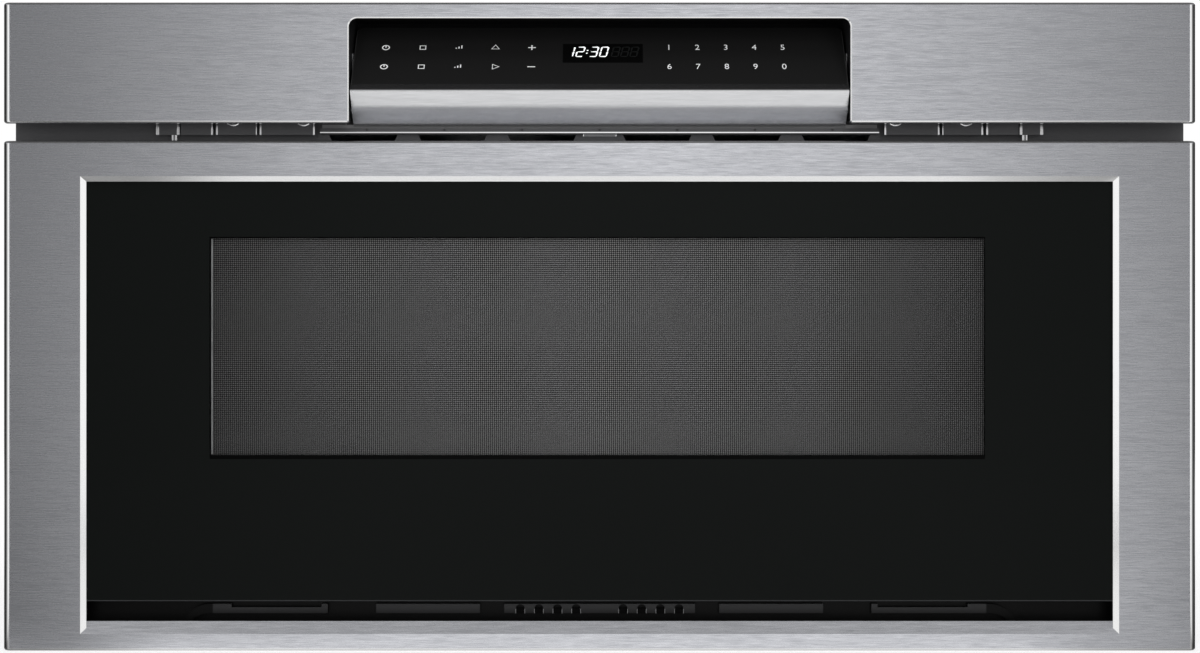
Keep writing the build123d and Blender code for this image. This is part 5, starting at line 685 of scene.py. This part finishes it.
tilt = math.radians(45)
slab_out = Vector((0.0, -math.cos(tilt), math.sin(tilt)))
slab_up = Vector((0.0, math.sin(tilt), math.cos(tilt)))
console_pivot = Vector((0.0, -0.3157, 0.34597))
slab_corner = console_pivot + slab_out * 0.0243 - slab_up * 0.01007
slab_place = Matrix.Translation(slab_corner) @ Matrix((
    (1.0, 0.0, 0.0, 0.0),
    (0.0, slab_up.y, slab_out.y, 0.0),
    (0.0, slab_up.z, slab_out.z, 0.0),
    (0.0, 0.0, 0.0, 1.0)))
ink_height = 0.00004
console_glass_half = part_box("console_glass")[1].x
display_left, display_right = -0.0238, 0.0280
display_low, display_high = 0.0280, 0.0476
across, depth, up = place.axes()
up_slab = (up - slab_corner.z) * slab_up.z + (depth - slab_corner.y) * slab_up.y
dark = across.within(display_left, display_right) * up_slab.within(display_low, display_high)
rim = abs(across) > console_glass_half - 0.0007
printed = dark.between((0.0190, 0.0190, 0.0190), (0.0040, 0.0041, 0.0041))
rim.between(printed, (0.06, 0.06, 0.06)).into(shader, "Base Color")
dress(console_glass, "console_glass")

ink_with_painted_glow, shader, place = new_finish("pale_ink_painted_glow", (0.90, 0.91, 0.91), 0.55, {"Emission Strength": 0.25})
mottled = place.scaled(2500, 2500, 2500).noise(2.0)
mottled.between((0.86, 0.87, 0.87), (0.94, 0.95, 0.95)).into(shader, "Base Color")
mottled.between((0.9, 0.9, 0.9), (1.0, 1.0, 1.0)).into(shader, "Emission Color")      # faint glow on the printed ink, painted light


def printed_text(mesh, text, size, x, up):
    """Adds one figure, centred at this place on the glass, to the print's mesh."""
    curve = bpy.data.curves.new("figure", "FONT")
    curve.body = text
    curve.size = size
    curve.align_x, curve.align_y = "CENTER", "CENTER"
    curve.extrude = ink_height / 2
    figure = link(bpy.data.objects.new("figure", curve))
    bpy.context.view_layer.update()
    data = bpy.data.meshes.new_from_object(figure.evaluated_get(bpy.context.evaluated_depsgraph_get()))
    placed = Matrix.Translation((x, up, ink_height / 2)) @ Matrix.Diagonal((digit_slimness, 1, 1, 1))
    data.transform(placed)
    mesh.from_mesh(data)
    bpy.data.objects.remove(figure)
    bpy.data.curves.remove(curve)
    bpy.data.meshes.remove(data)


digit_size = 0.0076
digit_slimness = 0.86
digit_columns = [0.0449 + 0.01845 * column for column in range(5)]
digit_rows = (0.0437, 0.0239)
digits = bmesh.new()
for column, x in enumerate(digit_columns):
    printed_text(digits, str(column + 1), digit_size, x, digit_rows[0])
    printed_text(digits, str((column + 6) % 10), digit_size, x, digit_rows[1])
bmesh.ops.transform(digits, matrix=slab_place, verts=digits.verts)
key_digits = finished("key_digits", digits, ink_with_painted_glow)
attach(key_digits, "console")


def stroke(mesh, centre, length, width, angle=0.0):
    """Adds one straight bar of ink, turned by an angle about its own centre."""
    made = bmesh.ops.create_cube(mesh, size=1.0)["verts"]
    bmesh.ops.scale(mesh, verts=made, vec=(length, width, ink_height))
    bmesh.ops.rotate(mesh, verts=made, cent=(0, 0, 0), matrix=Matrix.Rotation(angle, 3, "Z"))
    bmesh.ops.translate(mesh, verts=made, vec=(*centre, ink_height / 2))


def ring(mesh, centre, radius, width, sides=28, turn=0.0):
    """Adds a ring of ink, or a frame where it has few sides."""
    def circle(size):
        made = bmesh.ops.create_circle(mesh, cap_ends=False, radius=size, segments=sides)["verts"]
        bmesh.ops.rotate(mesh, verts=made, cent=(0, 0, 0), matrix=Matrix.Rotation(turn, 3, "Z"))
        bmesh.ops.translate(mesh, verts=made, vec=(*centre, 0.0))
        return list({edge for vert in made for edge in vert.link_edges})
    band = bmesh.ops.bridge_loops(mesh, edges=circle(radius) + circle(radius - width))["faces"]
    raised = bmesh.ops.extrude_face_region(mesh, geom=band)["geom"]
    bmesh.ops.translate(mesh, verts=[part for part in raised if isinstance(part, bmesh.types.BMVert)],
                        vec=(0, 0, ink_height))


mark_columns = (-0.1386, -0.1146, -0.0912, -0.0675, -0.0439)
line = 0.0008
marks = bmesh.new()
for row, up in enumerate(digit_rows):
    for column, x in enumerate(mark_columns):
        kind = column + row * 5
        if kind in (0, 5):
            ring(marks, (x, up), 0.0026, line)
            stroke(marks, (x, up + 0.0008), 0.0018, line, math.radians(90))
        elif kind in (1, 6):
            ring(marks, (x, up), 0.0030, line, sides=4, turn=math.radians(45))
        elif kind in (2, 7):
            for step in (-1, 0, 1):
                height = 0.0020 + step * 0.0012
                stroke(marks, (x + step * 0.0018, up + step * 0.0006), height, line, math.radians(90))
        elif kind in (3, 8):
            ring(marks, (x, up), 0.0032, line, sides=3, turn=math.radians(-90 if kind == 8 else 0))
        else:
            stroke(marks, (x, up), 0.0050, line)
            if kind == 4:
                stroke(marks, (x, up), 0.0050, line, math.radians(90))
bmesh.ops.transform(marks, matrix=slab_place, verts=marks.verts)
key_marks = finished("key_marks", marks, ink_with_painted_glow)
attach(key_marks, "console")


# ---- The clock ---------------------------------------------------------------------------------
# A four-digit seven-bar display behind the glass. Its lit bars lean a little to the right and
# glow a soft white through the glass.

lit_bars, shader, place = new_finish("lit_bars", (0.6, 0.62, 0.62), 0.5, {"Emission Strength": 1.0})
glow = place.scaled(600, 600, 600).noise(1.0)
glow.between((0.92, 0.94, 0.94), (1.0, 1.0, 1.0)).into(shader, "Emission Color")

bar_length = 0.00485
bar_across = 0.0043
bar_width = 0.0012
lean = math.tan(math.radians(10))
segments_of = {"0": "abcdef", "1": "bc", "2": "abged", "3": "abgcd", "8": "abcdefg"}
bar_places = {"a": (0, 2, 0), "b": (1, 1, 90), "c": (1, -1, 90), "d": (0, -2, 0), "e": (-1, -1, 90),
              "f": (-1, 1, 90), "g": (0, 0, 0)}


def clock_bar(mesh, centre, length, angle):
    """Adds one six-sided bar of the clock."""
    made = bmesh.ops.create_circle(mesh, cap_ends=True, radius=bar_width / 2, segments=6)["verts"]
    for vert in made:
        if abs(vert.co.x) > bar_width * 0.3:
            vert.co.x = math.copysign(length / 2, vert.co.x)
        else:
            vert.co.x = math.copysign(length / 2 - bar_width / 2, vert.co.x)
    bmesh.ops.rotate(mesh, verts=made, cent=(0, 0, 0), matrix=Matrix.Rotation(angle, 3, "Z"))
    bmesh.ops.translate(mesh, verts=made, vec=(*centre, ink_height))


clock_up = 0.0393
colon_x = -0.0080


def clock_figures(mesh, figures, centres):
    """Adds these figures to the display, each bar by bar."""
    for figure, centre_x in zip(figures, centres):
        for name in segments_of[figure]:
            along, high, angle = bar_places[name]
            size = bar_length if angle else bar_across
            clock_bar(mesh, (centre_x + along * bar_across / 2, high * bar_length / 2),
                      size - bar_width * 0.35, math.radians(angle))


def leaned(mesh):
    """Leans the figures to the right and lays them on the glass."""
    for vert in mesh.verts:
        vert.co.x += vert.co.y * lean
    bmesh.ops.translate(mesh, verts=mesh.verts, vec=(0, clock_up, 0))
    bmesh.ops.transform(mesh, matrix=slab_place, verts=mesh.verts)


clock = bmesh.new()
clock_figures(clock, "1230", (-0.0189, -0.0124, -0.0036, 0.0029))
for high in (-0.30, 0.30):
    clock_bar(clock, (colon_x, high * bar_length), bar_width, 0.0)
leaned(clock)
clock_digits = finished("clock_digits", clock, lit_bars)
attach(clock_digits, "console")

dim_bars, shader, place = new_finish("unlit_bars", (0.016, 0.017, 0.017), 0.4, {
    "Specular IOR Level": 0.1})
dimness = place.scaled(600, 600, 600).noise(1.0)
dimness.between((0.013, 0.014, 0.014), (0.020, 0.021, 0.021)).into(shader, "Base Color")
unlit = bmesh.new()
clock_figures(unlit, "888", (0.0105, 0.0165, 0.0225))
leaned(unlit)
unlit_digits = finished("unlit_digits", unlit, dim_bars)
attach(unlit_digits, "console")

display_finish, shader, place = new_finish("dark_display", (0.02, 0.022, 0.022), 0.2)
film = place.scaled(800, 800, 800).noise(1.0)
film.between((0.015, 0.017, 0.017), (0.028, 0.03, 0.03)).into(shader, "Base Color")
dress(display_finish, "console_display")


# ---- Boards --------------------------------------------------------------------------------------
# The main board and the touch board are glass-fibre boards with a green solder mask over copper
# tracks, and the parts on them are soldered through.

board_green, shader, place = new_finish("green_board", (0.02, 0.10, 0.04), 0.35)
cells = place.scaled(420, 420, 420)
tracks = cells.node("TexBrick", {"offset": 0.5}, {
    "Vector": cells, "Color1": (0.0, 0.0, 0.0), "Color2": (0.35, 0.35, 0.35), "Mortar": (1.0, 1.0, 1.0),
    "Scale": 1.0, "Mortar Size": 0.12, "Brick Width": 2.6, "Row Height": 0.8})
copper_share = tracks.node("RGBToBW", inputs={0: tracks})
copper_share.between((0.008, 0.075, 0.028), (0.03, 0.19, 0.075)).into(shader, "Base Color")
place.scaled(300, 300, 300).noise(2.0).between(0.25, 0.45).into(shader, "Roughness")
dress(board_green, "touch_board", "main_board")


# ---- Slides, screws and shafts -----------------------------------------------------------------------
# The slides, arms and screws are steel with a thin bright zinc plating, and the motors' cans, the
# magnetron and the console's hinge pins are plain bright steel.

def plated(name, low, high, roughness):
    """Smooth plated or cast metal with a faint cloudiness and fine scuffs."""
    finish, shader, place = new_finish(name, high, roughness, {"Metallic": 1.0})
    cloud = place.scaled(35, 35, 35).noise(3.0)
    scuff = place.scaled(500, 100, 500).noise(3.0, 0.7)
    tone = cloud * 0.5 + scuff * 0.5
    tone.between(low, high).into(shader, "Base Color")
    tone.between(roughness - 0.08, roughness + 0.10).into(shader, "Roughness")
    scuff.bump(0.00002).into(shader, "Normal")
    return finish


dress(plated("zinc_plate", (0.50, 0.51, 0.52), (0.68, 0.69, 0.71), 0.30), "slide_outers",
      "slide_middle_left", "slide_middle_right", "slide_inners", "drawer_arms", "case_screws",
      "drawer_screws")
dress(plated("bright_steel", (0.42, 0.42, 0.43), (0.60, 0.60, 0.61), 0.26), "console_hinge_pins",
      "drive_motor", "antenna_motor", "fan_motor", "magnetron")
dress(plated("aluminium", (0.62, 0.63, 0.64), (0.80, 0.81, 0.82), 0.34), "hv_capacitor",
      "stirrer_antenna")


# ---- Moulded rack, pinion, tray and plungers ---------------------------------------------------------
# The drive's rack and pinion and the board tray are moulded in natural acetal and nylon, and the
# switch plungers in red, all with a soft even sheen.

def moulded(name, low, high, roughness):
    """Plain moulded plastic or rubber: a soft cloudiness and the mould's fine texture."""
    finish, shader, place = new_finish(name, high, roughness)
    cloud = place.scaled(60, 60, 60).noise(3.0)
    fine = place.scaled(1800, 1800, 1800).noise(1.0)
    (cloud * 0.6 + fine * 0.4).between(low, high).into(shader, "Base Color")
    fine.between(roughness - 0.08, roughness + 0.10).into(shader, "Roughness")
    fine.bump(0.00003).into(shader, "Normal")
    return finish


dress(moulded("pale_plastic", (0.52, 0.51, 0.46), (0.66, 0.65, 0.60), 0.40), "board_tray",
      "drive_rack", "drive_pinion")
dress(moulded("red_plastic", (0.30, 0.022, 0.016), (0.42, 0.035, 0.026), 0.38),
      "switch_plunger_left", "switch_plunger_right")
dress(moulded("black_rubber", (0.016, 0.016, 0.016), (0.034, 0.034, 0.034), 0.75), "door_bumpers")
dress(moulded("mica_sheet", (0.36, 0.31, 0.22), (0.58, 0.53, 0.42), 0.50), "antenna_cover")
dress(moulded("lamp_ceramic", (0.66, 0.65, 0.60), (0.80, 0.79, 0.75), 0.30), "cavity_lamp")


# ---- Transformer -------------------------------------------------------------------------------------
# The high-voltage transformer's core is a stack of thin steel sheets, welded across their edges,
# and its coils are varnished copper wire laid side by side.

lamination, shader, place = new_finish("core_sheets", (0.16, 0.16, 0.17), 0.45, {"Metallic": 0.9})
across, depth, up = place.axes()
sheet_pitch = 0.0008
ridge = (depth * (1 / sheet_pitch)).maths("PINGPONG", depth * (1 / sheet_pitch), 1.0)
ridge.between((0.09, 0.09, 0.10), (0.24, 0.24, 0.25)).into(shader, "Base Color")
ridge.bump(0.0002).into(shader, "Normal")
dress(lamination, "transformer_core")

copper, shader, place = new_finish("varnished_copper", (0.55, 0.22, 0.09), 0.30, {
    "Metallic": 0.9, "Coat Weight": 0.5})
across, depth, up = place.axes()
wire_pitch = 0.0011
strand = (up * (1 / wire_pitch)).maths("PINGPONG", up * (1 / wire_pitch), 1.0)
strand.between((0.28, 0.10, 0.04), (0.62, 0.27, 0.12)).into(shader, "Base Color")
strand.bump(0.0004).into(shader, "Normal")
dress(copper, "transformer_windings")
